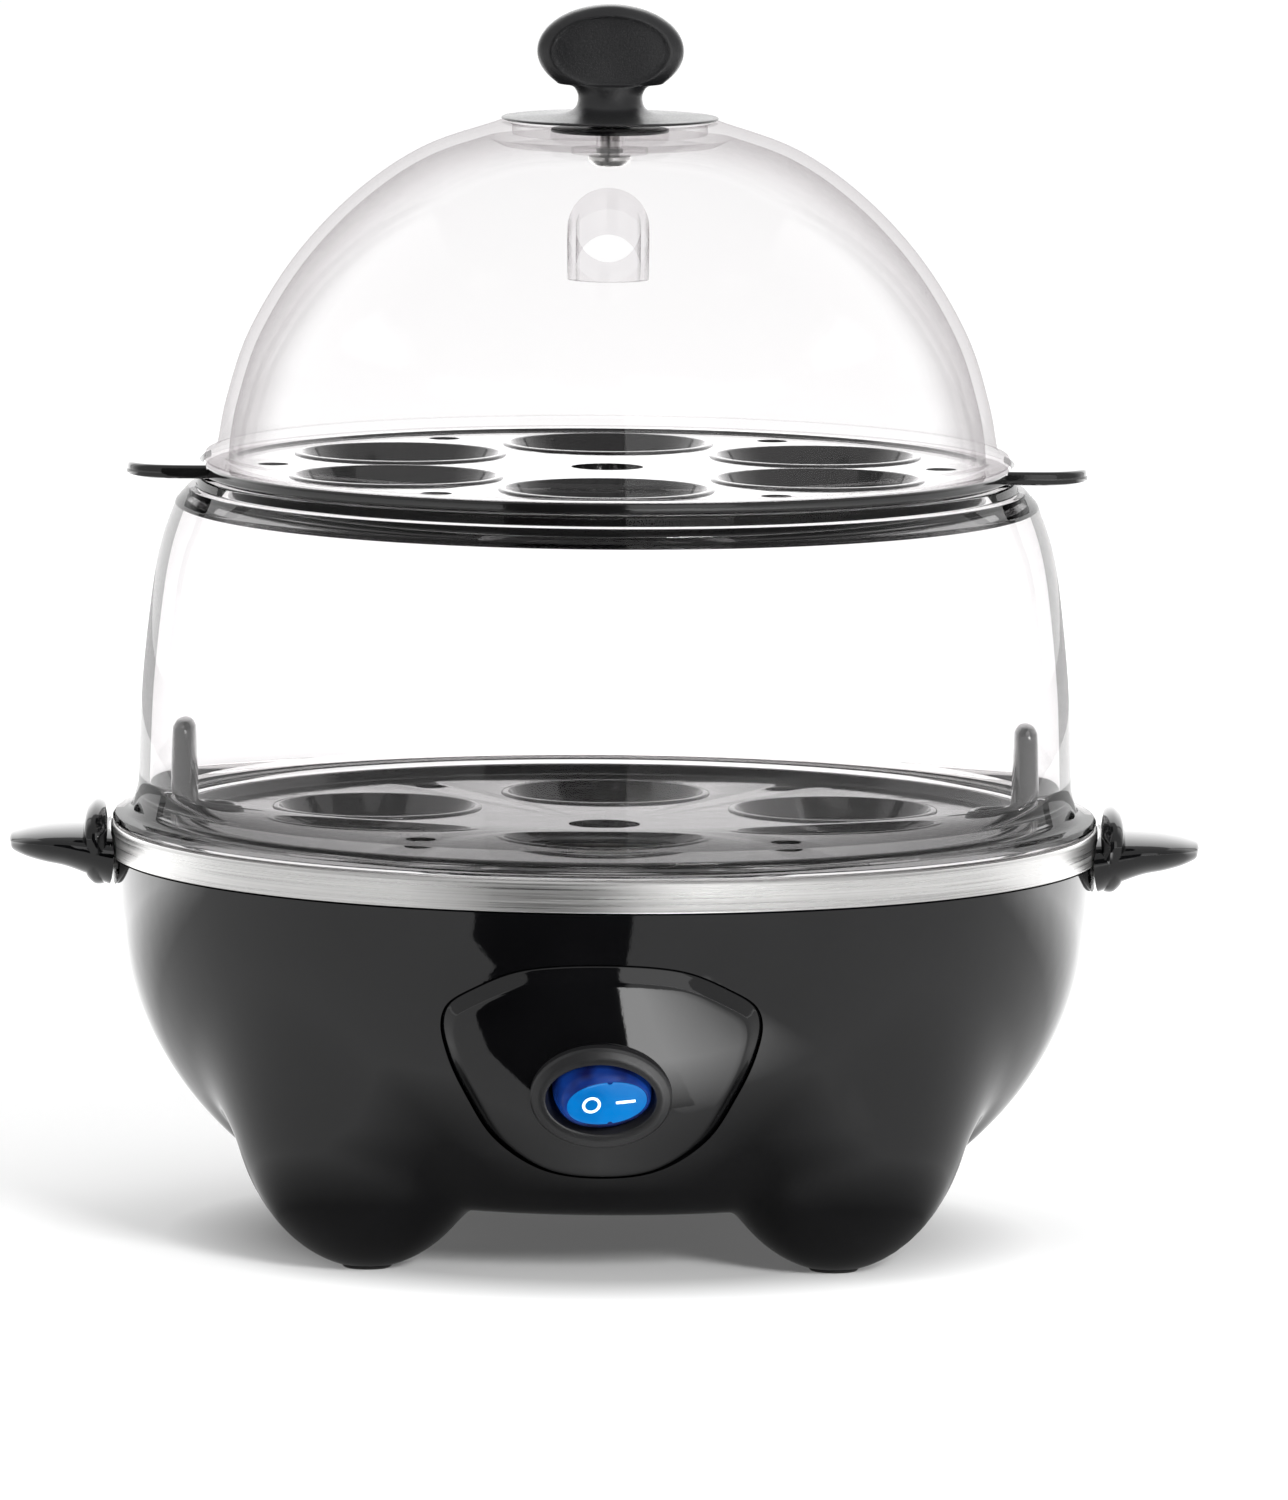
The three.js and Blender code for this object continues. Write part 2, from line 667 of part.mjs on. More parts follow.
function heatingElement() {
  const open = THREE.MathUtils.degToRad(15);
  const curve = new THREE.CatmullRomCurve3(
    Array.from({ length: 25 }, (_, i) => {
      const angle = Math.PI / 2 + open + ((2 * Math.PI - 2 * open) * i) / 24;
      return new THREE.Vector3(Math.cos(angle), Math.sin(angle), 0).multiplyScalar(ELEMENT_RADIUS);
    }),
  );
  const section = new THREE.Shape(around(8, ELEMENT_TUBE).map(([x, y]) => new THREE.Vector2(x, y)));
  const options = { steps: 24, bevelEnabled: false, extrudePath: curve };
  return moved(solid(new THREE.ExtrudeGeometry(section, options)), 0, 0, ELEMENT_Z);
}

function thermostatBracket() {
  const strip = moved(block(2 * STUD_X + 10, 9, 1), 0, 0, 53.6);
  const holes = [-1, 1].map((side) => moved(cylinder(2.1, 50, 60), side * STUD_X, 0, 0));
  return cut(strip, holes);
}

function bracketNut() {
  return cylinder(3.5, 0, 2.4, 6).subtract(cylinder(2.1, -1, 4));
}

add("heating_element", heatingElement(), steel);
add("thermostat", turned([
  [0, 54.5],
  [6.5, 54.5],
  [6.5, 58],
  [8.6, 58],
  [8.6, PAN_UNDER - GAP],
  [0, PAN_UNDER - GAP],
], 20), ceramicWhite);
add("thermostat_bracket", thermostatBracket(), steel);
[-1, 1].forEach((side, i) => {
  const mesh = add(`bracket_nut_${i + 1}`, bracketNut(), steel);
  mesh.position.set(side * STUD_X, 0, 50.3);
});
const fuse = add("thermal_fuse", turned([[0, -6.5], [0.6, -6.5], [0.6, -4.5], [2, -4], [2, 4],
  [0.6, 4.5], [0.6, 6.5], [0, 6.5]], 10), ceramicWhite);
fuse.rotation.y = Math.PI / 2;
fuse.position.set(0, -19, 58.5);

// ---- Wiring and cord entry ------------------------------------------------------------------

const TERMINAL_Z = FLOOR_Z + BASE_WALL + 5.6;

function terminalBlock() {
  const body = moved(block(30, 11, 10), 0, 40.5, TERMINAL_Z);
  const ways = [-10, 0, 10].map((x) =>
    moved(cylinder(1.8, -8, 8, 8).rotate([90, 0, 0]), x, 40.5, TERMINAL_Z),
  );
  const tops = [-10, 0, 10].map((x) => moved(cylinder(2, TERMINAL_Z + 2, 30, 8), x, 40.5, 0));
  return cut(body, [...ways, ...tops]);
}

function cordGland() {
  return turnedRing([
    [GLAND_BORE, -9],
    [5, -9],
    [5.2, 0.5],
    [8.6, 0.5],
    [8.6, 1.6],
    [7.6, 2.6],
    [5.6, 3],
    [5, 6.5],
    [GLAND_BORE, 6.5],
  ], 14);
}

function cordClamp() {
  const bar = moved(block(24, 7, 2.4), 0, CLAMP_Y, 19.5);
  const holes = [-1, 1].map((side) => moved(cylinder(1.8, 15, 30), side * CLAMP_SCREW_X, CLAMP_Y, 0));
  const groove = moved(cylinder(3, -6, 6, 12).rotate([90, 0, 0]), 0, CLAMP_Y, 17.2);
  return cut(bar, [...holes, groove]);
}

add("terminal_block", terminalBlock(), ceramicWhite);
const gland = add("cord_gland", cordGland(), satinBlack);
gland.position.set(...GLAND_CENTRE);
gland.rotation.x = -Math.PI / 2 - GLAND_TILT;
add("cord_clamp", cordClamp(), satinBlack);
[-1, 1].forEach((side, i) => {
  const mesh = add(`clamp_screw_${i + 1}`, screw(2.4, 1.6, 1.2, 4.6), steel);
  mesh.rotation.x = Math.PI;
  mesh.position.set(side * CLAMP_SCREW_X, CLAMP_Y, 21.05);
});
add("buzzer", turned([[0, 0], [6.5, 0], [6.5, 4.6], [5.7, 5.4], [0, 5.4]], 16), satinBlack)
  .position.set(0, -43, FLOOR_Z + BASE_WALL + GAP);

add("live_lead", lead([[-10, 46.6, TERMINAL_Z], [-17, 48.8, 23.4], [-36, 44, 33], [-46, 10, 40],
  [-38, -30, 44], [-18, -50, 48], [-6, -60, 52.2]]), leadRed);
add("switched_lead", lead([[6, -60, 52.2], [14, -47, 48], [16, -24, 44], [11, -10, 46],
  [6, -4, 50], [4, -1.5, 52.5]]), leadRed);
add("neutral_lead", lead([[10, 46.6, TERMINAL_Z], [17, 48.8, 23.4], [26, 51, 34], [22, 44, 48],
  [13.5, 38.5, 54]]), leadBlue);
add("fuse_lead", lead([[-7, -19, 58.5], [-15, -18, 57], [-18, -4, 48], [-16, 16, 46],
  [-12, 30, 49], [-11, 36.5, 52.2]]), leadRed);
add("earth_lead", lead([[0, 46.6, TERMINAL_Z], [1.5, 48, 25], [8, 50, 38], [18, 30, 46],
  [22, 10, 48], [19, 3, 49]]), leadGreen);

// ---- Egg trays -----------------------------------------------------------------------------

// A dished seat for the blunt end of an egg, hanging from a plate whose underside is at z = 0.
function socketSolid() {
  return turned([
    [0, -SOCKET_DROP],
    [SOCKET_THROAT + TRAY_SHEET, -SOCKET_DROP],
    [SOCKET_TOP + TRAY_SHEET, 0.4],
    [0, 0.4],
  ], 12);
}

function socketHollow() {
  return turned([
    [0, -SOCKET_DROP - 1],
    [SOCKET_THROAT - 2.6, -SOCKET_DROP - 1],
    [SOCKET_THROAT - 2.6, -SOCKET_DROP + TRAY_SHEET],
    [SOCKET_THROAT, -SOCKET_DROP + TRAY_SHEET],
    [SOCKET_TOP, TRAY_SHEET + 0.4],
    [0, TRAY_SHEET + 0.4],
  ], 12);
}

function drilledTray(plate, underside, socketRing) {
  const places = around(SOCKET_COUNT, socketRing, -Math.PI / 2);
  const sockets = places.map(([x, y]) => moved(socketSolid(), x, y, underside));
  const hollows = places.map(([x, y]) => moved(socketHollow(), x, y, underside));
  const steamRing = around(SOCKET_COUNT, socketRing + 18, -Math.PI / 3);
  const steamHoles = [
    ...steamRing.map(([x, y]) => moved(cylinder(3, underside - 2, underside + 4, 6), x, y, 0)),
    cylinder(7, underside - 2, underside + 4, 10),
  ];
  return { body: joined([plate, ...sockets]), holes: [...hollows, ...steamHoles] };
}

function lowerTray() {
  const top = LOWER_TRAY_Z + TRAY_SHEET;
  const plate = turned([
    [0, LOWER_TRAY_Z],
    [LOWER_TRAY_RADIUS - 2, LOWER_TRAY_Z],
    [LOWER_TRAY_RADIUS - 2, PAN_LEDGE_Z + GAP],
    [LOWER_TRAY_RADIUS, PAN_LEDGE_Z + GAP],
    [LOWER_TRAY_RADIUS, HOUSING_FLANGE_TOP],
    [LOWER_TRAY_RADIUS - 1.6, HOUSING_FLANGE_TOP],
    [LOWER_TRAY_RADIUS - 2.4, top],
    [0, top],
  ]);
  const post = loft([
    oval(4.1, 9.5, LOWER_TRAY_Z + 0.5, { power: 2.8, steps: 16 }),
    oval(3.6, 8.6, top + 1, { power: 2.8, steps: 16 }),
    oval(2.7, 7.4, top + 4, { power: 2.8, steps: 16 }),
    oval(2.5, 6.6, 91, { power: 2.8, steps: 16 }),
    oval(2.2, 5.8, 99.4, { power: 2.6, steps: 16 }),
    oval(1.6, 4.8, 101, { power: 2.2, steps: 16 }),
  ]);
  const lip = loft([oval(4.5, 9.6, LOWER_TRAY_Z + 0.4), oval(4.3, 9.4, top + 3)]);
  const fingerHole = loft([oval(3.1, 8.2, 70), oval(3.1, 8.2, 90)]);
  const made = drilledTray(plate, LOWER_TRAY_Z, LOWER_SOCKET_RING);
  const sides = [-1, 1];
  return cut(joined([
    made.body,
    ...sides.map((side) => moved(post, side * LIFTING_POST_X, 0, 0)),
    ...sides.map((side) => moved(lip, side * FINGER_HOLE_X, 0, 0)),
  ]), [
    ...made.holes,
    ...sides.map((side) => moved(fingerHole, side * FINGER_HOLE_X, 0, 0)),
  ]);
}

function upperTray() {
  const top = UPPER_TRAY_Z + TRAY_SHEET;
  const rimZ = NECK_TOP + GAP;
  const wall = NECK_BORE - 0.7;
  const plate = turned([
    [0, UPPER_TRAY_Z],
    [wall - 1.8, UPPER_TRAY_Z],
    [wall - 1.8, UPPER_SKIRT_Z],
    [wall - 0.5, UPPER_SKIRT_Z],
    [wall, UPPER_SKIRT_Z + 0.8],
    [wall, rimZ],
    [UPPER_TRAY_RADIUS, rimZ],
    [UPPER_TRAY_RADIUS, rimZ + 1.4],
    [UPPER_TRAY_RADIUS - 0.6, rimZ + 2],
    [wall - 1.2, rimZ + 2],
    [wall - 1.8, top],
    [0, top],
  ]);
  const tab = loft([
    oval(13.5, TAB_HALF_WIDTH, rimZ, { x: TAB_REACH - 13.5, power: 3.4 }),
    oval(13.5, TAB_HALF_WIDTH, rimZ + 1.8, { x: TAB_REACH - 13.5, power: 3.4 }),
    oval(12.8, TAB_HALF_WIDTH - 0.7, rimZ + 2.6, { x: TAB_REACH - 13.5, power: 3.4 }),
  ]).subtract(cylinder(LID_FLANGE_RADIUS + 0.8, rimZ + 1.9, rimZ + 5, STEPS));
  const outerTab = tab.subtract(cylinder(wall - 0.6, rimZ - 5, rimZ + 8, STEPS));
  const made = drilledTray(plate, UPPER_TRAY_Z, UPPER_SOCKET_RING);
  return cut(joined([made.body, outerTab, outerTab.rotate([0, 0, 180])]), made.holes);
}

add("lower_tray", lowerTray(), glossBlack);
add("upper_tray", upperTray(), glossBlack);

// ---- Clear middle housing --------------------------------------------------------------------

function middleHousing() {
  const flange = RING_TOP + GAP;
  const outer = smooth([[91, 88.7], [90.3, 108], [88.5, 126], [86.7, 136], [83.9, 144.3]], 5);
  const inner = outer.map(([r, z]) => [r - WALL, z - 0.4]).reverse();
  return turnedRing([
    [FOOT_BORE, flange],
    [RIM_RADIUS - 0.3, flange],
    [RIM_RADIUS, flange + 0.6],
    [RIM_RADIUS - 0.5, HOUSING_FLANGE_TOP + 0.2],
    ...arc(93.6, 86, 2.6, -90, -180, 2),
    ...outer,
    [81.6, 146.6],
    [NECK_RADIUS, 147.2],
    [NECK_RADIUS - 0.3, NECK_TOP - 0.4],
    [NECK_RADIUS - 0.9, NECK_TOP],
    [NECK_BORE, NECK_TOP],
    [NECK_BORE, 145.2],
    [79.6, 144.3],
    ...inner,
    [FOOT_BORE, 86],
  ]);
}

add("middle_housing", middleHousing(), clear);

// ---- Lid: clear dome, knob, washer and screw -------------------------------------------------

const lidCurve = [
  [76, LID_FLANGE_Z + 2.6],
  [74.2, 164.1],
  [69.9, 177.1],
  [61.3, 191.4],
  [49.9, 203.7],
  [36.9, 212.8],
  [21.5, LID_TOP_Z],
];

// The lid's outer surface, grown outwards, as a solid down to its flange.
function lidMass(growth, steps) {
  const points = smooth(lidCurve, steps).map(([r, z], i, all) => {
    const before = all[Math.max(i - 1, 0)];
    const after = all[Math.min(i + 1, all.length - 1)];
    const length = Math.hypot(after[0] - before[0], after[1] - before[1]);
    const out = [(after[1] - before[1]) / length, (before[0] - after[0]) / length];
    return [r + out[0] * growth, z + out[1] * growth];
  });
  const top = points[points.length - 1];
  return turned([[0, points[0][1]], ...points, [0, top[1]]]);
}

function lidDome() {
  const outer = lidMass(0, 8);
  const skirt = turned([
    [0, LID_FLANGE_Z],
    [LID_FLANGE_RADIUS - 0.4, LID_FLANGE_Z],
    [LID_FLANGE_RADIUS, LID_FLANGE_Z + 0.5],
    [LID_FLANGE_RADIUS - 0.3, LID_FLANGE_Z + 1.8],
    [76.6, LID_FLANGE_Z + 2.2],
    [76, LID_FLANGE_Z + 3],
    [0, LID_FLANGE_Z + 3],
  ]);
  const recessZ = LID_TOP_Z - LID_RECESS_DROP;
  const dish = turned([[0, recessZ - WALL], [LID_RECESS_RADIUS + 1.6, recessZ - WALL],
    [LID_RECESS_RADIUS + 2, LID_TOP_Z - 1], [0, LID_TOP_Z - 1]], 24);
  const tube = moved(cylinder(VENT_OUTER, 185, 215, 14), 0, VENT_Y, 0);
  const collar = tube.intersect(lidMass(1.1, 8)).subtract(lidMass(-WALL - 2.6, 5));
  const hollow = lidMass(-WALL, 6);
  const mouth = cylinder(76 - WALL - 0.1, LID_FLANGE_Z - 1, LID_FLANGE_Z + 3.5, STEPS);
  const shell = cut(outer.add(skirt), [hollow, mouth]);
  return cut(joined([shell, dish, collar]), [
    moved(cylinder(VENT_BORE, 180, 220, 14), 0, VENT_Y, 0),
    cylinder(LID_RECESS_RADIUS, recessZ, LID_TOP_Z + 1, 24),
    cylinder(2.6, 200, 220),
  ]);
}

// The knob: a thin round flange, a waisted neck and an upright oval paddle with dished faces.
function lidKnob() {
  const base = KNOB_FLANGE_Z;
  const flange = turned([
    [0, base],
    [KNOB_FLANGE_RADIUS - 0.3, base],
    [KNOB_FLANGE_RADIUS, base + 0.3],
    [KNOB_FLANGE_RADIUS - 0.4, base + 0.6],
    [9, base + 0.9],
    [6.9, base + 1.7],
    [6.4, base + 4.4],
    [0, base + 4.4],
  ], 28);
  const plug = cylinder(9.5, LID_TOP_Z - LID_RECESS_DROP + GAP, base + 1, 24);
  const middleZ = 232.1;
  const halfHeight = KNOB_TOP - middleZ;
  const neck = loft([
    oval(6.7, 5.6, base + 0.7, { steps: 16 }),
    oval(6.3, 4.8, base + 3.8, { steps: 16 }),
    oval(7, 4.6, base + 6, { steps: 16 }),
    oval(9, 4.4, base + 8, { steps: 16 }),
  ]);
  const rings = [-0.98, -0.8, -0.5, 0, 0.5, 0.8, 0.98].map((share) => {
    const across = Math.sqrt(1 - share * share);
    const thick = 4.7 * across ** 0.45;
    return oval(KNOB_HALF_WIDTH * across, thick, middleZ + halfHeight * share, { power: 2.5, steps: 16 });
  });
  const paddle = loft(rings);
  const dish = [-1, 1].map((side) =>
    moved(solid(new THREE.SphereGeometry(1, 10, 6).scale(11.1, 1.3, 6.5)), 0, side * 4.9, middleZ),
  );
  return cut(joined([flange, plug, neck, paddle]), [...dish, cylinder(2.35, 210, 226)]);
}

add("lid_dome", lidDome(), clear);
add("lid_knob", lidKnob(), satinBlack);
const DISH_UNDER = LID_TOP_Z - LID_RECESS_DROP - WALL;
add("knob_washer", turnedRing([
  [2.6, DISH_UNDER - GAP - 1.2],
  [7.5, DISH_UNDER - GAP - 1.2],
  [7.5, DISH_UNDER - GAP],
  [2.6, DISH_UNDER - GAP],
], 24), satinBlack);
add("knob_screw", screw(4.2, 2, 2, 13.5), steel)
  .position.set(0, 0, DISH_UNDER - 2 * GAP - 1.2);

export default cooker;
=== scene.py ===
"""Looks of the two-tier egg cooker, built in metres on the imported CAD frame.

Lengths in the geometry code are in millimetres and are scaled once, where a mesh is made.
"""

import json
import math

import bmesh
import bpy
import numpy as np
from mathutils import Matrix, Vector


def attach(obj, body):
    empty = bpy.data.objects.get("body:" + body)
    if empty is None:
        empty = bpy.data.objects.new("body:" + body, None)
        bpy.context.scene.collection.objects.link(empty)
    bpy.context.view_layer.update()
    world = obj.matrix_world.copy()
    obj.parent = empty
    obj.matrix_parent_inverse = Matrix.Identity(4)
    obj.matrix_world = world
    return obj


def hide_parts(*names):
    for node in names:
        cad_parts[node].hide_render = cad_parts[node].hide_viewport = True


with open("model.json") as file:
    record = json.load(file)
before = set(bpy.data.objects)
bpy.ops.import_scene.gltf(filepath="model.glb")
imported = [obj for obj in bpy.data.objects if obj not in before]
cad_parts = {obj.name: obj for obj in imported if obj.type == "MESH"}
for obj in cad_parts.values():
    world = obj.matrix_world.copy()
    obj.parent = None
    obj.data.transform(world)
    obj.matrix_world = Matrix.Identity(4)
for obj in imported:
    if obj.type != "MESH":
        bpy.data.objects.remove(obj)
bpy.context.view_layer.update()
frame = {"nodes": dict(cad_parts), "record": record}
MM = 0.001

# ---- Dimensions, in millimetres ------------------------------------------------------------------

RIM_RADIUS = 96.0
RIM_Z = 75.0
BOWL_DEPTH = 78.0
BOWL_POWER = 2.2
FLOOR_Z = 12.3
FLOOR_BLEND = 2.4
BASE_WALL = 2.4
LOBE_OFFSET = 45.0
LOBE_Z = 38.0
LOBE_RADIUS = 27.0
LOBE_BLEND = 8.0
EYE_Z = 80.0

GAP = 0.35
RING_RADIUS = 96.3
RING_TOP = 81.4
PAN_UNDER_Z = 62.0
PAN_FLOOR_Z = 63.0

PANEL_TILT = math.radians(26)
PANEL_CENTRE = Vector((0, -88.6, 39.9))
PANEL_PROUD = (1.0, 2.2)
PANEL_MATRIX = Matrix.Translation(PANEL_CENTRE) @ Matrix.Rotation(math.pi / 2 + PANEL_TILT, 4, "X")
PANEL_SIDE = [
    (0, 26.1), (15.5, 24.3), (24.5, 19.8), (29.4, 15.8), (30.6, 11.8),
    (29.3, 5.1), (25.7, -3.4), (20.1, -13.5), (10.8, -21), (0, -22.8),
]
PANEL_HOLE = (11.4, 8.9)
BEZEL_HALF = (13.5, 11.4)
SWITCH_OPENING = (10.1, 7.4)
ROCKER_PIVOT_DEPTH = 2.7
ROCKER_REST = math.radians(11)
ROCKER_TOP = 5.95

FOOT_HOLE = (5.15, 3.55)
COVER_TOP = FLOOR_Z - GAP
COVER_UNDER = COVER_TOP - 1.6
COVER_SCREWS = [(27, 0), (0, 27), (-27, 0), (0, -27)]
GLAND_PLACE = (0, 88, 40)
GLAND_TILT = math.radians(-115)

TRAY_SHEET = 1.8
SOCKET_HOLE = 20.2
STEAM_HOLE = 3
STEAM_RING_BEYOND = 18
LOWER_TRAY_Z = 79.2
LOWER_SOCKET_RING = 52
FINGER_HOLE_X = 75.4
FINGER_HOLE_HALF = (3.1, 8.2)
LIFTING_POST_X = 82.2
UPPER_TRAY_Z = 149.2
UPPER_SOCKET_RING = 47
UPPER_SKIRT_Z = 145.4
UPPER_RIM_Z = 149.55
UPPER_WALL_RADIUS = 75.9

WALL = 2.2
LID_TOP_Z = 218.4
LID_FLANGE_Z = 151.9
LID_DISH_Z = LID_TOP_Z - 2.6
LID_DISH_UNDER_Z = LID_DISH_Z - WALL
VENT_Y = -53.0
VENT_HOLE = 7.85
VENT_OUTER = 7.8
VENT_BORE = 6.2

KNOB_Z = 218.75
PADDLE_Z = 232.1
PADDLE_HALF = (14.25, 9.0)
PADDLE_DISH = (11.6, 6.9, 1.5)

LARGE_STEPS = 192
SMALL_STEPS = 48
PANEL_STEPS = 240
HANDLE_STEPS = 64
BASE_COLUMNS = 288
MERGE_DISTANCE = 1e-7

# ---- Mesh helpers --------------------------------------------------------------------------------


def rounded(points, closed=True, steps=5):
    """The outline with its corners rounded. A point is (r, z), or (r, z, radius)."""
    count = len(points)
    made = []
    for i, point in enumerate(points):
        radius = point[2] if len(point) > 2 else 0
        at_end = not closed and i in (0, count - 1)
        here = Vector(point[:2])
        if radius <= 0 or at_end:
            made.append(tuple(here))
            continue
        before = Vector(points[i - 1][:2]) - here
        after = Vector(points[(i + 1) % count][:2]) - here
        angle = before.angle(after)
        reach = min(radius / math.tan(angle / 2), 0.48 * before.length, 0.48 * after.length)
        start = here + before.normalized() * reach
        end = here + after.normalized() * reach
        for k in range(steps + 1):
            t = k / steps
            made.append(tuple(start * (1 - t) ** 2 + here * 2 * t * (1 - t) + end * t * t))
    return made


def spline(points, steps):
    """Points along a smooth curve through the given points of any dimension."""
    data = np.array(points, float)
    ends = np.vstack([2 * data[0] - data[1], data, 2 * data[-1] - data[-2]])
    made = []
    for i in range(len(data) - 1):
        a, b, c, d = ends[i:i + 4]
        for t in np.arange(steps) / steps:
            made.append(0.5 * (2 * b + (c - a) * t + (2 * a - 5 * b + 4 * c - d) * t ** 2
                               + (3 * b - a - 3 * c + d) * t ** 3))
    made.append(data[-1])
    return [tuple(p) for p in made]


def surface(rings, loop=False, caps=(False, False)):
    """Vertices and faces of a skin through rings of equal length."""
    count = len(rings[0])
    verts = [tuple(p) for ring in rings for p in ring]
    faces = []
    pairs = len(rings) if loop else len(rings) - 1
    for i in range(pairs):
        a, b = i * count, ((i + 1) % len(rings)) * count
        for j in range(count):
            k = (j + 1) % count
            faces.append((a + j, a + k, b + k, b + j))
    for cap, first, flip in ((caps[0], 0, True), (caps[1], (len(rings) - 1) * count, False)):
        if not cap:
            continue
        middle = np.mean(np.array(verts[first:first + count]), axis=0)
        verts.append(tuple(middle))
        for j in range(count):
            a, b = first + j, first + (j + 1) % count
            faces.append((b, a, len(verts) - 1) if flip else (a, b, len(verts) - 1))
    return verts, faces


def turned(profile, steps=LARGE_STEPS, loop=True, place=(0, 0, 0)):
    """A profile of (radius, height) turned about Z. An open one is closed at its ends."""
    turns = [2 * math.pi * j / steps for j in range(steps)]
    rings = [
        [(place[0] + r * math.cos(t), place[1] + r * math.sin(t), place[2] + z) for t in turns]
        for r, z in profile
    ]
    return surface(rings, loop, (not loop, not loop))


def cylinder(radius, low, high, steps=SMALL_STEPS, place=(0, 0)):
    return turned([(radius, low), (radius, high)], steps, False, (place[0], place[1], 0))


def oval(half_x, half_y, z, power=2.0, steps=SMALL_STEPS, x=0.0, y=0.0):
    ring = []
    for j in range(steps):
        c, s = math.cos(2 * math.pi * j / steps), math.sin(2 * math.pi * j / steps)
        ring.append((x + half_x * math.copysign(abs(c) ** (2 / power), c),
                     y + half_y * math.copysign(abs(s) ** (2 / power), s), z))
    return ring


def transformed(part, matrix):
    verts, faces = part
    return [tuple(matrix @ Vector(v)) for v in verts], faces


def linked(name, data):
    """An object of the data, in the scene."""
    thing = bpy.data.objects.new(name, data)
    bpy.context.scene.collection.objects.link(thing)
    return thing


def plain_mesh(name, corners, faces, scale=1.0):
    mesh = bpy.data.meshes.new(name)
    mesh.from_pydata([tuple(c * scale for c in corner) for corner in corners], [], faces)
    return mesh


def mesh_object(name, parts, angle=35.0):
    """One object from parts of (vertices, faces), with edges sharper than the angle kept."""
    verts, faces = [], []
    for part_verts, part_faces in parts:
        start = len(verts)
        verts += part_verts
        faces += [tuple(start + i for i in face) for face in part_faces]
    mesh = plain_mesh(name, verts, faces, MM)
    work = bmesh.new()
    work.from_mesh(mesh)
    bmesh.ops.remove_doubles(work, verts=work.verts, dist=MERGE_DISTANCE)
    bmesh.ops.recalc_face_normals(work, faces=work.faces)
    work.to_mesh(mesh)
    work.free()
    finish_mesh(mesh, angle)
    return linked(name, mesh)


def finish_mesh(mesh, angle):
    mesh.shade_smooth()
    mesh.set_sharp_from_angle(angle=math.radians(angle))


def joined(thing, others, angle=35.0, turns=(0,)):
    """Adds the other objects' meshes, once for each turn about Z, and removes those objects."""
    work = bmesh.new()
    work.from_mesh(thing.data)
    for other in others:
        for turn in turns:
            copy = other.data.copy()
            copy.transform(Matrix.Rotation(turn, 4, "Z"))
            work.from_mesh(copy)
            bpy.data.meshes.remove(copy)
        bpy.data.objects.remove(other)
    work.to_mesh(thing.data)
    work.free()
    finish_mesh(thing.data, angle)
    return thing


def combined(thing, steps, angle=35.0):
    """Applies boolean steps, each (operation, parts), to an object's mesh."""
    for number, (operation, parts) in enumerate(steps):
        tool = mesh_object(f"{thing.name}_tool_{number}", parts)
        modifier = thing.modifiers.new("shape", "BOOLEAN")
        modifier.operation = operation
        modifier.solver = "EXACT"
        modifier.object = tool
        modifier.use_self = False
        graph = bpy.context.evaluated_depsgraph_get()
        made = bpy.data.meshes.new_from_object(thing.evaluated_get(graph))
        thing.modifiers.clear()
        old, thing.data = thing.data, made
        bpy.data.meshes.remove(old)
        bpy.data.objects.remove(tool)
        made.name = thing.name
    finish_mesh(thing.data, angle)
    return thing


def dress(thing, material, body, slot, *nodes):
    """Gives a finished piece its material and its body, and hides the CAD nodes it stands for. Its slot
    is not used.
    """
    thing.data.materials.clear()
    thing.data.materials.append(material)
    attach(thing, body)
    if nodes:
        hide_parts(*nodes)
    return thing


# ---- Material helpers ----------------------------------------------------------------------------


class Recipe:
    """A material's nodes, added one at a time."""

    def __init__(self, name):
        self.material = bpy.data.materials.new(name)
        self.material.use_nodes = True
        self.tree = self.material.node_tree
        self.tree.nodes.clear()
        self.output = self.tree.nodes.new("ShaderNodeOutputMaterial")

    def add(self, kind, settings=None, **inputs):
        """A node with its inputs filled or linked. _0 is the first input, and so on."""
        node = self.tree.nodes.new("ShaderNode" + kind)
        for key, value in (settings or {}).items():
            setattr(node, key, value)
        for key, value in inputs.items():
            socket = node.inputs[int(key[1:]) if key[0] == "_" else key.replace("_", " ")]
            if isinstance(value, bpy.types.NodeSocket):
                self.tree.links.new(value, socket)
            else:
                socket.default_value = value
        return node

    def place(self, scale=(1, 1, 1)):
        """Object coordinates in metres, stretched."""
        coordinates = self.add("TexCoord").outputs["Object"]
        return self.add("Mapping", Vector=coordinates, Scale=scale).outputs[0]

    def noise(self, scale, detail=2.0, roughness=0.5, stretch=(1, 1, 1), vector=None):
        where = vector or self.place(stretch)
        return self.add("TexNoise", Vector=where, Scale=scale, Detail=detail,
                        Roughness=roughness).outputs["Fac"]

    def span(self, value, low, high, start=0.3, end=0.7):
        return self.add("MapRange", Value=value, From_Min=start, From_Max=end,
                        To_Min=low, To_Max=high).outputs[0]

    def math(self, operation, first, second=0.0):
        return self.add("Math", {"operation": operation}, _0=first, _1=second).outputs[0]

    def shades(self, value, dark, light, start=0.3, end=0.7):
        ramp = self.add("ValToRGB", Fac=value)
        ramp.color_ramp.elements[0].position = start
        ramp.color_ramp.elements[0].color = (*dark, 1)
        ramp.color_ramp.elements[1].position = end
        ramp.color_ramp.elements[1].color = (*light, 1)
        return ramp.outputs[0]

    def bump(self, height, distance, strength=1.0, under=None):
        node = self.add("Bump", Height=height, Distance=distance, Strength=strength)
        if under is not None:
            self.tree.links.new(under, node.inputs["Normal"])
        return node.outputs[0]

    def finish(self, shader):
        self.tree.links.new(shader, self.output.inputs["Surface"])
        return self.material


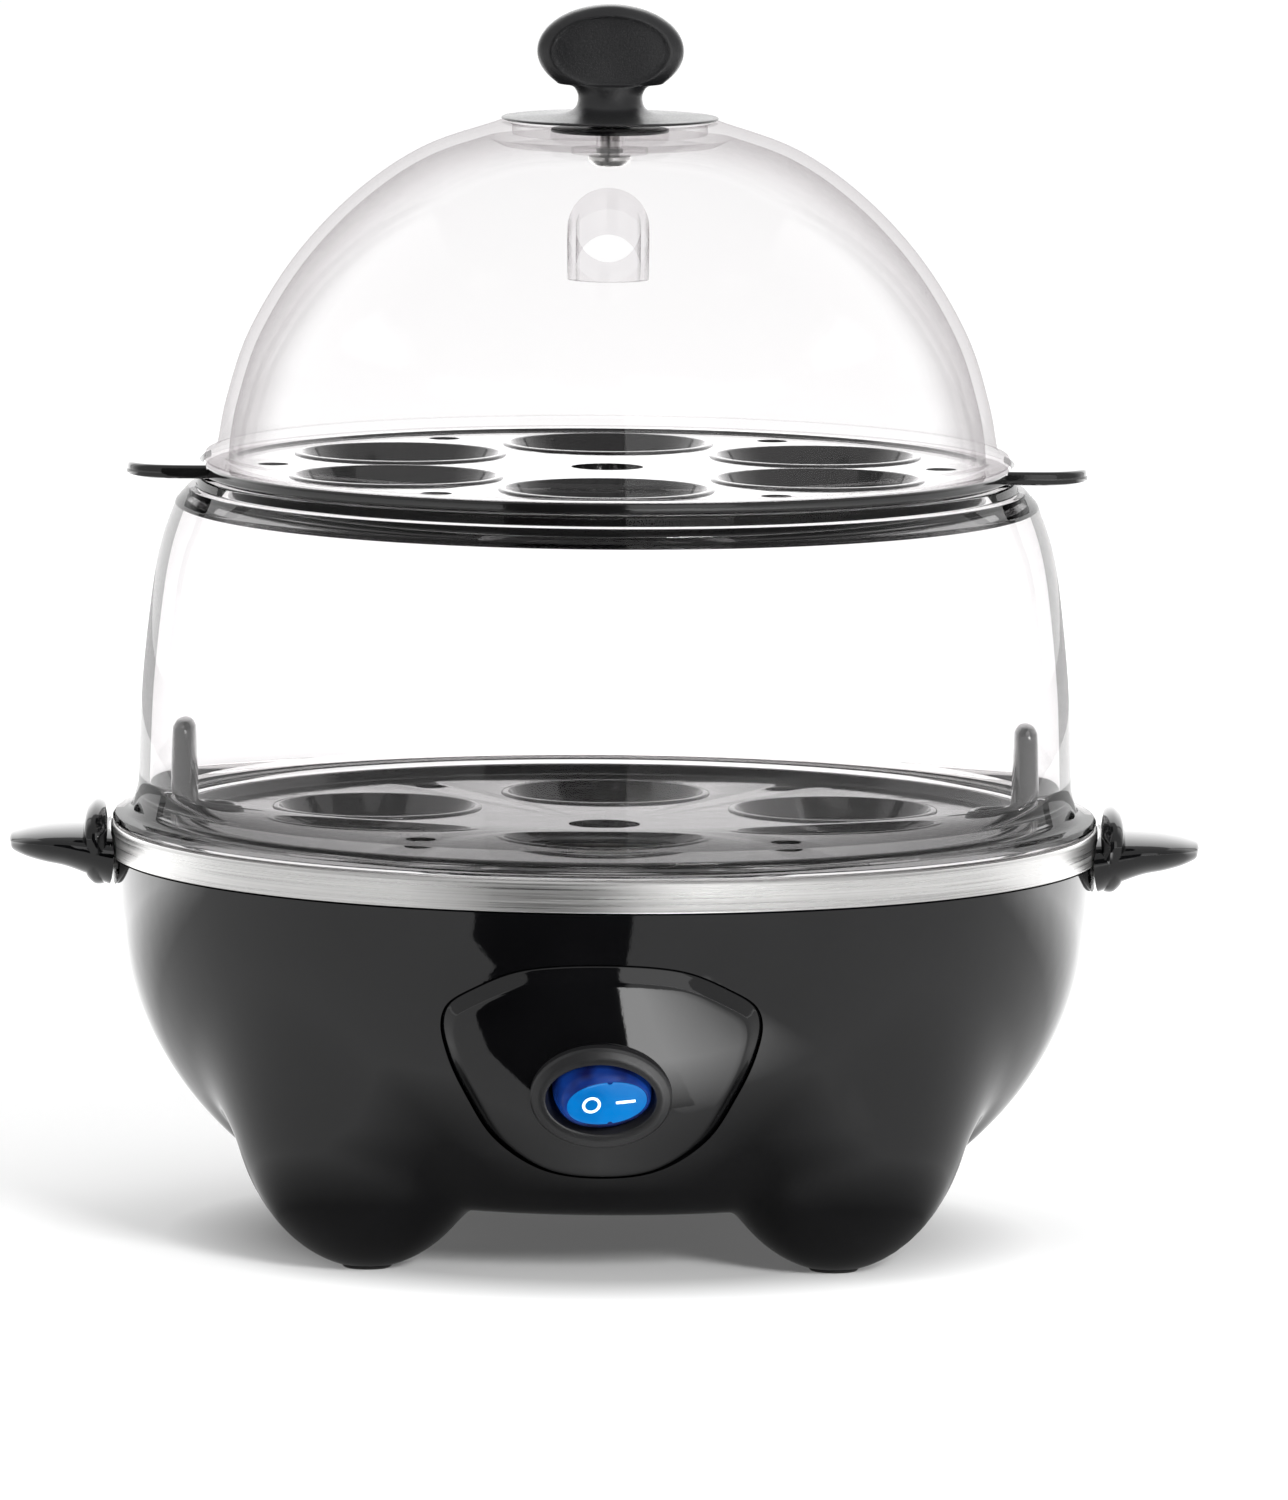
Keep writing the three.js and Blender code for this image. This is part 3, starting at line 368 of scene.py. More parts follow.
def gloss_plastic(name, dark, light, smooth, worn, peel):
    """Polished moulded plastic: a faint ripple from the mould, and fine handling marks."""
    r = Recipe(name)
    broad = r.noise(38, 3)
    marks = r.noise(260, 5, 0.7, (1, 1, 0.22))
    handled = r.math("MULTIPLY", r.span(marks, 0, 1, 0.56, 0.75), r.span(broad, 0.2, 1))
    roughness = r.span(handled, smooth, worn, 0, 1)
    ripple = r.bump(r.noise(150, 1), peel)
    fine = r.bump(r.noise(1400, 2), peel * 0.12, 1.0, ripple)
    shader = r.add("BsdfPrincipled", Base_Color=r.shades(broad, dark, light), Roughness=roughness,
                   Normal=fine, IOR=1.52)
    return r.finish(shader.outputs[0])


def satin_plastic(name, dark, light, low, high, grain, scale=2100):
    """Spark-eroded moulded plastic with a fine grain."""
    r = Recipe(name)
    fine = r.noise(scale, 3, 0.6)
    broad = r.noise(70, 3)
    roughness = r.math("ADD", r.span(fine, low, high), r.span(broad, -0.04, 0.04))
    shader = r.add("BsdfPrincipled", Base_Color=r.shades(broad, dark, light), Roughness=roughness,
                   Normal=r.bump(fine, grain), IOR=1.5)
    return r.finish(shader.outputs[0])


SHINE = (0.9, 0.9, 0.9, 1)


def clear_plastic():
    """Clear polycarbonate that greys where it is seen along its wall, partly as the tint of the longer
    path through it and partly as painted shade for its dark edges. Lamps shine through it.
    """
    r = Recipe("clear_plastic_look")
    ripple = r.bump(r.noise(14, 1), 0.00001)
    smears = r.noise(75, 4, 0.6, (1, 1, 0.5))
    roughness = r.span(smears, 0.0, 0.02, 0.5, 0.8)
    edge = r.add("LayerWeight", Blend=0.5).outputs["Facing"]
    # Grey at grazing angles: partly the wall's own tint, partly painted shade for the dark edges.
    grazing_grey_and_painted_shade = r.shades(edge, (0.99, 0.985, 0.987), (0.84, 0.825, 0.83), 0.6, 1.0)
    through = r.add("BsdfRefraction", Color=grazing_grey_and_painted_shade, Roughness=roughness, IOR=1.45,
                    Normal=ripple).outputs[0]
    shine = r.add("BsdfGlossy", Color=SHINE, Roughness=roughness, Normal=ripple).outputs[0]
    share = r.math("MULTIPLY", r.add("Fresnel", IOR=1.45).outputs[0], 0.42)
    wall = r.add("MixShader", Fac=share, _1=through, _2=shine).outputs[0]
    passing = r.add("BsdfTransparent", Color=(0.95, 0.94, 0.945, 1)).outputs[0]
    lamp = r.add("LightPath").outputs["Is Shadow Ray"]
    return r.finish(r.add("MixShader", Fac=lamp, _1=wall, _2=passing).outputs[0])


def clear_sheet(name, plain, along):
    """Clear plastic in an even sheet, seen through unbent and greyer along its walls, partly as its own
    tint and partly as painted shade in place of the dark edges that bending would give.
    """
    r = Recipe(name)
    smears = r.noise(90, 3, 0.6)
    edge = r.add("LayerWeight", Blend=0.5).outputs["Facing"]
    # Grey at grazing angles: partly the sheet's own tint, partly painted shade for the dark edges.
    grazing_grey_and_painted_shade = r.shades(edge, plain, along, 0.5, 1.0)
    through = r.add("BsdfTransparent", Color=grazing_grey_and_painted_shade).outputs[0]
    roughness = r.span(smears, 0.02, 0.06)
    shine = r.add("BsdfGlossy", Color=SHINE, Roughness=roughness).outputs[0]
    share = r.math("ADD", r.math("MULTIPLY", r.math("POWER", edge, 4.0), 0.12), 0.02)
    return r.finish(r.add("MixShader", Fac=share, _1=through, _2=shine).outputs[0])


def turned_steel(name):
    """Stainless steel with fine marks that run round the axis."""
    r = Recipe(name)
    spot = r.add("TexCoord").outputs["Object"]
    axes = r.add("SeparateXYZ", Vector=spot)
    turn = r.math("ARCTAN2", axes.outputs[1], axes.outputs[0])
    flat = r.add("CombineXYZ", X=axes.outputs[0], Y=axes.outputs[1])
    radius = r.add("VectorMath", {"operation": "LENGTH"}, _0=flat.outputs[0]).outputs["Value"]
    around = r.add("CombineXYZ", X=r.math("MULTIPLY", turn, 1.6),
                   Y=r.math("MULTIPLY", radius, 2600), Z=r.math("MULTIPLY", axes.outputs[2], 2600))
    streaks = r.noise(1, 4, 0.62, vector=around.outputs[0])
    cloud = r.noise(45, 3)
    roughness = r.math("ADD", r.span(streaks, 0.2, 0.42), r.span(cloud, -0.04, 0.05))
    colour = r.shades(streaks, (0.52, 0.515, 0.51), (0.8, 0.795, 0.785))
    shader = r.add("BsdfPrincipled", Base_Color=colour, Metallic=1.0, Roughness=roughness,
                   Normal=r.bump(streaks, 0.00002), Anisotropic=0.4)
    return r.finish(shader.outputs[0])


def plain_metal(name, dark, light, low, high):
    """Drawn or plated metal with a fine grain."""
    r = Recipe(name)
    grain = r.noise(900, 4, 0.6)
    shader = r.add("BsdfPrincipled", Base_Color=r.shades(grain, dark, light), Metallic=1.0,
                   Roughness=r.span(grain, low, high), Normal=r.bump(grain, 0.00001))
    return r.finish(shader.outputs[0])


def matt(name, dark, light, low, high, scale, bump):
    """A dull finish, such as rubber, ceramic or cable sleeve, its roughness from low to high."""
    r = Recipe(name)
    grain = r.noise(scale, 4, 0.6)
    shader = r.add("BsdfPrincipled", Base_Color=r.shades(grain, dark, light),
                   Roughness=r.span(grain, low, high), Normal=r.bump(grain, bump))
    return r.finish(shader.outputs[0])


def lit_cap(name, colour_low, colour_high, glow_low, glow_high, scale):
    """Tinted blue plastic with the lamp behind it."""
    r = Recipe(name)
    cloud = r.noise(scale, 2)
    colour = r.shades(cloud, colour_low, colour_high)
    roughness = r.span(r.noise(900, 2), 0.12, 0.22)
    ripple = r.bump(r.noise(500, 1), 0.000006)
    shader = r.add("BsdfPrincipled", Base_Color=colour, Roughness=roughness, IOR=1.5, Normal=ripple,
                   Specular_IOR_Level=0.15, Emission_Color=colour,
                   Emission_Strength=r.span(cloud, glow_low, glow_high))
    return r.finish(shader.outputs[0])


gloss_black = gloss_plastic(
    "base_gloss", (0.0012, 0.0012, 0.0014), (0.0025, 0.0025, 0.0028), 0.045, 0.11, 0.00003)
tray_black = gloss_plastic(
    "tray_gloss", (0.003, 0.003, 0.003), (0.006, 0.006, 0.006), 0.08, 0.18, 0.00004)
satin_black = satin_plastic(
    "satin_grain", (0.004, 0.004, 0.0045), (0.007, 0.007, 0.0075), 0.3, 0.42, 0.00003)
bezel_grey = satin_plastic(
    "bezel_grain", (0.006, 0.006, 0.0065), (0.01, 0.01, 0.0105), 0.3, 0.4, 0.00002)
clear = clear_plastic()
# The greyer colours at grazing angles are partly painted shade for the sheets' dark edges.
clear_thin = clear_sheet("clear_sheet_look", (0.985, 0.982, 0.983), (0.64, 0.622, 0.628))
clear_tube = clear_sheet("clear_tube_look", (0.93, 0.922, 0.926), (0.4, 0.39, 0.395))
steel = turned_steel("turned_steel_look")
screw_steel = plain_metal("fastener_look", (0.5, 0.5, 0.49), (0.72, 0.71, 0.7), 0.25, 0.45)
brass = plain_metal("brass_look", (0.5, 0.36, 0.13), (0.68, 0.5, 0.22), 0.25, 0.42)
rubber = matt("rubber_look", (0.006, 0.006, 0.006), (0.012, 0.012, 0.012), 0.55, 0.75, 1500, 0.00005)
ceramic = matt("ceramic_look", (0.68, 0.65, 0.58), (0.8, 0.78, 0.72), 0.45, 0.65, 700, 0.00003)
red_lead = matt("red_lead_look", (0.2, 0.012, 0.012), (0.32, 0.02, 0.02), 0.4, 0.6, 900, 0.00003)
blue_lead = matt("blue_lead_look", (0.012, 0.04, 0.22), (0.02, 0.06, 0.34), 0.4, 0.6, 900, 0.00003)
green_lead = matt("green_lead_look", (0.04, 0.17, 0.03), (0.07, 0.27, 0.05), 0.4, 0.6, 900, 0.00003)
lit_blue = lit_cap("rocker_face_look", (0.0, 0.06, 0.2), (0.0, 0.082, 0.25), 0.75, 0.9, 130)
tinted_blue = lit_cap("rocker_blue_look", (0.003, 0.004, 0.03), (0.003, 0.022, 0.13), 0.35, 0.75, 160)
white_mark = lit_cap("mark_look", (0.6, 0.8, 0.85), (0.75, 0.92, 0.95), 0.5, 0.6, 300)

SLOT_LOOKS = {
    "base_plastic": gloss_black,
    "tray_plastic": tray_black,
    "satin_plastic": satin_black,
    "clear_plastic": clear,
    "pan_steel": steel,
    "fastener_steel": screw_steel,
    "terminal_brass": brass,
    "rocker_blue": tinted_blue,
    "foot_rubber": rubber,
    "insulator_ceramic": ceramic,
    "red_insulation": red_lead,
    "blue_insulation": blue_lead,
    "green_insulation": green_lead,
}

# ---- Base housing --------------------------------------------------------------------------------


def eased(share):
    """A share of 0 to 1 that starts and ends gently."""
    share = np.clip(share, 0, 1)
    return share * share * (3 - 2 * share)


def smooth_min(a, b, reach):
    """The lower of two fields, blended where they are within reach of each other."""
    mix = np.maximum(reach - np.abs(a - b), 0) / reach
    return np.minimum(a, b) - mix * mix * reach / 4


def base_field(x, y, z):
    """Roughly the distance to the base's outer surface, negative inside."""
    radius = np.hypot(x, y)
    below = np.maximum(RIM_Z - z, 0)
    share = ((radius / RIM_RADIUS) ** BOWL_POWER
             + (below / BOWL_DEPTH) ** BOWL_POWER) ** (1 / BOWL_POWER)
    bowl = np.hypot(radius, below) * (1 - 1 / np.maximum(share, 1e-6))
    floored = -smooth_min(-bowl, -(FLOOR_Z - z), FLOOR_BLEND)
    across = np.hypot(np.abs(x) - LOBE_OFFSET, np.abs(y) - LOBE_OFFSET)
    up = z - LOBE_Z
    size = np.maximum(np.hypot(across / LOBE_RADIUS, up / LOBE_Z), 1e-6)
    lobe = np.hypot(across, up) * (1 - 1 / size)
    rise = eased((z - FLOOR_Z) / 18)
    return smooth_min(floored, lobe, FLOOR_BLEND + (LOBE_BLEND - FLOOR_BLEND) * rise)


def base_rings(inset, falls, columns):
    """Rings of points on the surface the given depth inside the base."""
    turns = 2 * np.pi * np.arange(columns) / columns
    fall, turn = np.meshgrid(falls, turns, indexing="ij")
    way = (np.cos(fall) * np.cos(turn), np.cos(fall) * np.sin(turn), np.sin(fall))
    near = np.full(fall.shape, 20.0)
    far = np.full(fall.shape, 150.0)
    for _ in range(40):
        middle = (near + far) / 2
        inside = base_field(way[0] * middle, way[1] * middle, EYE_Z + way[2] * middle) < -inset
        near = np.where(inside, middle, near)
        far = np.where(inside, far, middle)
    points = np.stack([way[0] * near, way[1] * near, EYE_Z + way[2] * near], axis=-1)
    return [[tuple(p) for p in ring] for ring in points]


def panel_height(x, y, depth):
    """Height in the panel's frame of the surface that lies the given depth inside the bowl."""
    c, s = math.cos(math.pi / 2 + PANEL_TILT), math.sin(math.pi / 2 + PANEL_TILT)
    x, y = np.asarray(x, float), np.asarray(y, float)
    low, high = np.full(x.shape, -20.0), np.full(x.shape, 20.0)
    for _ in range(36):
        middle = (low + high) / 2
        field = base_field(x, y * c - middle * s + PANEL_CENTRE.y,
                           y * s + middle * c + PANEL_CENTRE.z)
        inside = field < -np.asarray(depth)
        low = np.where(inside, middle, low)
        high = np.where(inside, high, middle)
    return low


def through_points(p):
    """Points of a centripetal curve from the second to the third of four points."""
    knots = [0.0]
    for a, b in zip(p, p[1:]):
        knots.append(knots[-1] + math.sqrt(np.linalg.norm(b - a)))
    made = []
    for t in knots[1] + (knots[2] - knots[1]) * np.arange(40) / 40:
        line = [((knots[j + 1] - t) * p[j] + (t - knots[j]) * p[j + 1]) / (knots[j + 1] - knots[j])
                for j in range(3)]
        bend = [((knots[j + 2] - t) * line[j] + (t - knots[j]) * line[j + 1])
                / (knots[j + 2] - knots[j]) for j in range(2)]
        made.append(((knots[2] - t) * bend[0] + (t - knots[1]) * bend[1]) / (knots[2] - knots[1]))
    return made


def panel_outline(offset, count=PANEL_STEPS):
    """The panel's outline, moved in by an offset, as an array of x and y."""
    data = np.array(PANEL_SIDE + [(-x, y) for x, y in PANEL_SIDE[-2:0:-1]], float)
    dense = []
    for i in range(len(data)):
        dense += through_points([data[(i + k) % len(data)] for k in (-1, 0, 1, 2)])
    dense = np.array(dense + [dense[0]])
    steps = np.linalg.norm(np.diff(dense, axis=0), axis=1)
    length = np.concatenate([[0], np.cumsum(steps)])
    spots = length[-1] * np.arange(count) / count
    ring = np.stack([np.interp(spots, length, dense[:, k]) for k in (0, 1)], axis=1)
    along = np.roll(ring, -1, axis=0) - np.roll(ring, 1, axis=0)
    along /= np.linalg.norm(along, axis=1, keepdims=True)
    return ring + offset * np.stack([along[:, 1], -along[:, 0]], axis=1)


def ring_at(outline, heights):
    return [(x, y, z) for (x, y), z in zip(outline, np.broadcast_to(heights, len(outline)))]


def falls_from(rim_radius, start, stop, step):
    """Angles down from the eye point, first to the rim and then in even steps."""
    first = math.atan2(RIM_Z - EYE_Z, rim_radius)
    return np.concatenate([[first], np.radians(-np.arange(start, stop, step))])


def make_base():
    outer = base_rings(0, falls_from(RIM_RADIUS, 4.0, 89.6, 0.75), BASE_COLUMNS)
    inner = base_rings(BASE_WALL, falls_from(RIM_RADIUS - BASE_WALL, 6.0, 88, 3), BASE_COLUMNS)
    shell = surface(inner[::-1] + outer, False, (True, True))
    housing = mesh_object("base_housing_look", [shell])
    outline = panel_outline(0)
    opening = surface([ring_at(outline, -14), ring_at(outline, 22)], False, (True, True))
    gland_turn = Matrix.Translation(GLAND_PLACE) @ Matrix.Rotation(GLAND_TILT, 4, "X")
    tools = [
        transformed(opening, PANEL_MATRIX),
        transformed(cylinder(5.6, -12, 12), gland_turn),
        cylinder(20, 5, 30),
    ]
    radius, depth = FOOT_HOLE
    for x in (-LOBE_OFFSET, LOBE_OFFSET):
        for y in (-LOBE_OFFSET, LOBE_OFFSET):
            tools.append(cylinder(radius, -1, depth, place=(x, y)))
    combined(housing, [("DIFFERENCE", tools)], 32)
    return dress(housing, gloss_black, "base", "base_plastic", "base_housing")


make_base()


def panel_face(x, y):
    """Height of the panel's face, a little proud of the bowl and more so towards its bottom."""
    low = 1 - eased((np.asarray(y) + 22) / 44)
    return panel_height(x, y, -PANEL_PROUD[0] - (PANEL_PROUD[1] - PANEL_PROUD[0]) * low)


PANEL_EDGE = ((0.35, 2.6), (0.35, 0.7), (0.4, 0.45), (0.5, 0.3))
PANEL_ROLL = ((0.8, 0.08), (1.5, 0.45), (2.0, 0.7), (2.3, 0.84), (2.5, 0.92), (2.75, 0.975), (3.1, 1.0))


def make_panel():
    """The plate: its edge by inset and depth, its roll by inset and share of the rise, its face."""
    rows = []
    for offset, depth in PANEL_EDGE:
        line = panel_outline(offset)
        rows.append(ring_at(line, panel_height(line[:, 0], line[:, 1], depth)))
    for offset, share in PANEL_ROLL:
        line = panel_outline(offset)
        rest = panel_height(line[:, 0], line[:, 1], 0.25)
        rows.append(ring_at(line, rest + (panel_face(line[:, 0], line[:, 1]) - rest) * share))
    edge = line
    half_x, half_y = PANEL_HOLE
    angles = np.arctan2(edge[:, 1] / half_y, edge[:, 0] / half_x)
    hole = np.stack([half_x * np.cos(angles), half_y * np.sin(angles)], axis=1)
    for share in np.arange(1, 17) / 16:
        line = edge * (1 - share) + hole * share
        rows.append(ring_at(line, panel_face(line[:, 0], line[:, 1])))
    rows.append(ring_at(hole, -4))
    plate = mesh_object("switch_panel_look", [transformed(surface(rows), PANEL_MATRIX)], 50)
    return dress(plate, gloss_black, "base", "base_plastic", "switch_panel")


make_panel()


def make_bezel():
    profile = rounded([
        (0, 0.1), (0, 1.3, 0.35), (0.1, 1.75, 0.4), (0.5, 2.3, 1.2), (0.86, 2.15, 0.5),
        (1.0, 0.3, 0.4), (1.0, -11),
    ], False, 6)
    rings = []
    for share, height in profile:
        half = [a + (b - a) * share for a, b in zip(BEZEL_HALF, SWITCH_OPENING)]
        rings.append(oval(half[0], half[1], height, steps=128))
    rings.append(oval(9.6, 6.9, -12, steps=128))
    rim = surface(rings, False, (False, True))
    body = surface([oval(11, 8.5, z, steps=64) for z in (-17, 0)], False, (True, False))
    parts = [transformed(part, PANEL_MATRIX) for part in (rim, body)]
    bezel = mesh_object("switch_bezel_look", parts, 50)
    return dress(bezel, bezel_grey, "base", "satin_plastic", "switch_body")


make_bezel()


def make_rocker():
    stations = spline([
        (5.0, 4.5, -6.0), (8.4, 6.4, -3.6), (9.3, 6.95, 0), (9.1, 6.8, 3.0), (8.7, 6.0, 4.9),
        (8.3, 5.2, 5.75), (7.9, 4.85, 6.0), (7.75, 4.75, 5.9),
    ], 6)
    rings = [oval(a, b, z, 2.1, 96) for a, b, z in stations]
    place = (PANEL_MATRIX @ Matrix.Translation((0, 0, -ROCKER_PIVOT_DEPTH))
             @ Matrix.Rotation(ROCKER_REST, 4, "Y"))
    cap = mesh_object("rocker_look", [transformed(surface(rings, False, (True, True)), place)], 60)
    dress(cap, tinted_blue, "rocker", "rocker_blue", "rocker")
    lens = surface([oval(7.7 * k, 4.7 * k, z, 2.1, 96) for k, z in (
        (1.0, 5.7), (1.0, 5.9), (0.985, ROCKER_TOP), (0.9, ROCKER_TOP + 0.02),
        (0.6, ROCKER_TOP + 0.05), (0.3, ROCKER_TOP + 0.07))], False, (True, True))
    face = mesh_object("rocker_face", [transformed(lens, place)], 60)
    notches = [cylinder(0.55, ROCKER_TOP - 0.3, ROCKER_TOP + 0.5, 24, (0.6, side * 4.75))
               for side in (-1, 1)]
    combined(face, [("DIFFERENCE", [transformed(notch, place) for notch in notches])], 60)
    dress(face, lit_blue, "rocker", "rocker_blue")
    mark = ROCKER_TOP + 0.06
    line = rounded([
        (1.25, mark - 0.3), (1.25, mark + 0.05, 0.03), (1.8, mark + 0.05, 0.03), (1.8, mark - 0.3),
    ], True, 2)
    circle = turned(line, 48, True, (-3.0, 0, 0))
    bar = surface([oval(1.9, 0.3, z, 8, 32, 3.6) for z in (mark - 0.3, mark + 0.03, mark + 0.05)],
                  False, (True, True))
    marks = mesh_object("rocker_marks", [transformed(part, place) for part in (circle, bar)], 50)
    return dress(marks, white_mark, "rocker", "rocker_blue")


make_rocker()

# ---- Handles -------------------------------------------------------------------------------------

# Each section is its distance out, its half width, its crown and its underside.
HANDLE_SECTIONS = [
    (92, 17, 80.6, 67.4), (97, 17.4, 80.9, 69), (101, 17.8, 81.1, 70.9), (105, 18, 81.1, 72.4),
    (109, 17, 80.8, 73.2), (112.5, 14, 80.1, 74.1), (115.1, 9.4, 79.2, 75.1),
    (115.9, 6.5, 78.7, 75.9),
    (116.2, 3, 77.9, 76.8),
]
COLLAR_SECTIONS = [
    (96.6, 16.4, 84.2, 69.6), (97.1, 17.3, 85, 69), (98, 18, 85.5, 68.7), (99.2, 18.2, 85.6, 68.8),
    (100.3, 17.8, 85, 69.6), (100.9, 17, 84.2, 70.4), (101.2, 16, 83, 71.4),
]


def handle_rings(sections, steps):
    rings = []
    for reach, half, crown, under in spline(sections, steps):
        edge = under + (crown - under) * 0.62
        ring = []
        for turn in 2 * np.pi * np.arange(HANDLE_STEPS) / HANDLE_STEPS:
            c, s = math.cos(turn), math.sin(turn)
            across = math.copysign(abs(c) ** 0.75, c)
            rise = crown - edge if s > 0 else edge - under
            ring.append((reach, half * across, edge + s * rise))
        rings.append(ring)
    return surface(rings, False, (True, True))


def make_handle(side, turn):
    """A grip with a raised collar, cut back clear of the bowl and of the steel ring."""
    grip = mesh_object(f"{side}_handle_look", [handle_rings(HANDLE_SECTIONS, 8)])
    combined(grip, [
        ("UNION", [handle_rings(COLLAR_SECTIONS, 6)]),
        ("DIFFERENCE", [cylinder(RING_RADIUS + 0.4, 40, RING_TOP, LARGE_STEPS)]),
        ("DIFFERENCE", [cylinder(RING_RADIUS + 1, RING_TOP - 1, 120, LARGE_STEPS)]),
    ], 40)
    grip.data.transform(Matrix.Rotation(turn, 4, "Z"))
    return dress(grip, gloss_black, "base", "base_plastic", f"{side}_handle")


make_handle("right", 0)
make_handle("left", math.pi)

# ---- Water pan with its bright rim ---------------------------------------------------------------

PAN_PROFILE = rounded([
    (0.01, PAN_UNDER_Z), (50, PAN_UNDER_Z), (76, PAN_UNDER_Z, 2), (81, 63.6, 2), (83.6, 68, 3),
    (84.2, 76, 0.8),
    (92, 76, 0.8), (92, 80.4, 0.8), (95.3, 80.4, 0.6), (95.3, 75.35, 0.2), (96.3, 75.35, 0.2),
    (RING_RADIUS, RING_TOP, 0.9), (91, RING_TOP, 0.7), (91, 77, 0.7), (83.4, 77, 1.2),
    (82.6, 68.6, 3), (80.2, 64.5, 2.5), (75.8, PAN_FLOOR_Z, 4),
    (50, PAN_FLOOR_Z), (0.01, PAN_FLOOR_Z),
], True, 6)
pan = mesh_object("water_pan_look", [turned(PAN_PROFILE)], 40)
dress(pan, steel, "base", "pan_steel", "heating_plate")

# ---- Egg trays -----------------------------------------------------------------------------------

SOCKET_PROFILE = rounded([
    (13.4, -5), (17.8, -5, 0.6), (20.8, -0.3, 0.6), (20.8, 2.15, 0.5), (19.4, 2.25, 0.6),
    (16, -3.2, 1.2), (13.4, -3.2, 0.4),
], True, 4)


def tray_places(ring, start):
    turns = [start + math.pi * k / 3 for k in range(6)]
    return [(ring * math.cos(t), ring * math.sin(t)) for t in turns]


def make_tray(name, plate, underside, socket_ring, extra_holes=(), extra_parts=()):
    """A tray with its sockets, its steam holes, and further holes that may meet those."""
    tray = mesh_object(name, [plate])
    seats = tray_places(socket_ring, -math.pi / 2)
    steam = tray_places(socket_ring + STEAM_RING_BEYOND, -math.pi / 3)
    low, high = underside - 6, underside + 4
    tools = [cylinder(SOCKET_HOLE, low, high, 64, place) for place in seats]
    tools += [cylinder(STEAM_HOLE, low, high, 32, place) for place in steam]
    tools.append(cylinder(7, low, high))
    combined(tray, [("DIFFERENCE", tools)] + [("DIFFERENCE", [hole]) for hole in extra_holes])
    sockets = [turned(SOCKET_PROFILE, 72, True, (x, y, underside)) for x, y in seats]
    return joined(tray, [mesh_object(name + "_extra", [*sockets, *extra_parts])])


def make_lower_tray():
    base = LOWER_TRAY_Z
    top = base + TRAY_SHEET
    plate = turned(rounded([
        (0.01, base), (84.8, base, 0.3), (84.8, 77.35, 0.2), (86.8, 77.35, 0.4), (86.8, 83, 0.6),
        (85.2, 83, 0.5), (84.4, top, 0.4), (0.01, top),
    ], True, 4))
    half_x, half_y = FINGER_HOLE_HALF
    holes = [surface([oval(half_x, half_y, z, 2, 64, side * FINGER_HOLE_X) for z in (70, 90)],
                     False, (True, True)) for side in (-1, 1)]
    lip = rounded([
        (0, base - 0.4, 0.2), (1.4, base + 0.2, 0.5), (1.25, base + 4.8, 0.55), (0, base + 4.8, 0.5),
    ], True, 5)
    post = spline([
        (4.1, 9.5, base + 0.5, 2.8), (3.5, 8.6, base + 3, 2.8), (2.8, 7.6, base + 5.4, 2.8),
        (2.55, 6.8, 91, 2.8), (2.3, 5.9, 98.6, 2.6), (2.05, 5.4, 100, 2.4), (1.4, 4.5, 100.9, 2.2),
        (0.5, 2.8, 101.2, 2.0),
    ], 5)
    extras = []
    for side in (-1, 1):
        extras.append(surface([oval(half_x + grow, half_y + grow, z, 2, 64, side * FINGER_HOLE_X)
                               for grow, z in lip], True))
        extras.append(surface([oval(a, b, z, power, 64, side * LIFTING_POST_X)
                               for a, b, z, power in post], False, (True, True)))
    tray = make_tray("lower_tray_look", plate, base, LOWER_SOCKET_RING, holes, extras)
    return dress(tray, tray_black, "lower_tray", "tray_plastic", "lower_tray")


make_lower_tray()


def make_upper_tray():
    base, top = UPPER_TRAY_Z, UPPER_TRAY_Z + TRAY_SHEET
    wall, inner_wall, rim = UPPER_WALL_RADIUS, UPPER_WALL_RADIUS - TRAY_SHEET, UPPER_RIM_Z
    plate = turned(rounded([
        (0.01, base), (inner_wall, base, 0.3), (inner_wall, UPPER_SKIRT_Z, 0.3),
        (wall, UPPER_SKIRT_Z, 0.6), (wall, rim, 0.3), (79, rim, 0.3), (79, rim + 2, 0.6),
        (wall - 1.2, rim + 2, 0.4), (inner_wall, top, 0.4), (0.01, top),
    ], True, 5))
    tray = make_tray("upper_tray_look", plate, base, UPPER_SOCKET_RING)
    tab_rings = [oval(a, b, rim + rise, 3.4, 96, 80) for a, b, rise in (
        (13.0, 16.0, 0), (13.4, 16.4, 0.25), (13.5, 16.5, 0.6), (13.5, 16.5, 1.9),
        (13.35, 16.35, 2.3), (13.0, 16.0, 2.55), (12.4, 15.4, 2.6))]
    tab = mesh_object("upper_tray_tabs", [surface(tab_rings, False, (True, True))])
    combined(tab, [("DIFFERENCE", [cylinder(79.3, rim + 1.9, rim + 5, LARGE_STEPS)]),
                   ("DIFFERENCE", [cylinder(75.4, rim - 5, rim + 8, LARGE_STEPS)])])
    joined(tray, [tab], turns=(0, math.pi))
    return dress(tray, tray_black, "upper_tray", "tray_plastic", "upper_tray")


make_upper_tray()

# ---- Clear middle housing ------------------------------------------------------------------------

HOUSING_OUTER = spline([(91, 88.7), (90.3, 108), (88.5, 126), (86.7, 136), (83.9, 144.3)], 8)
HOUSING_PROFILE = rounded([
    (88.2, 81.75, 0.4), (95.7, 81.75, 0.3), (96, 82.35, 0.3),
    (95.5, 83.2, 0.5), (92.4, 83.6, 2.0), *HOUSING_OUTER[:-1], (83.9, 144.3, 1.2),
    (81.6, 146.9, 0.8),
    (80, 147.2, 0.3), (79.7, 149.2, 0.5), (76.6, 149.2, 0.5), (76.6, 145.2, 0.8), (79.6, 144.3, 1.2),
    *[(r - WALL, z - 0.4) for r, z in HOUSING_OUTER[::-1]][1:], (88.2, 86, 0.8),
], True, 6)
housing = mesh_object("middle_housing_look", [turned(HOUSING_PROFILE)], 28)
dress(housing, clear, "middle_housing", "clear_plastic", "middle_housing")

# ---- Lid -----------------------------------------------------------------------------------------

LID_CURVE = spline([
    (76, 154.5), (74.2, 164.1), (69.9, 177.1), (61.3, 191.4), (49.9, 203.7), (36.9, 212.8),
    (21.5, LID_TOP_Z),
], 10)


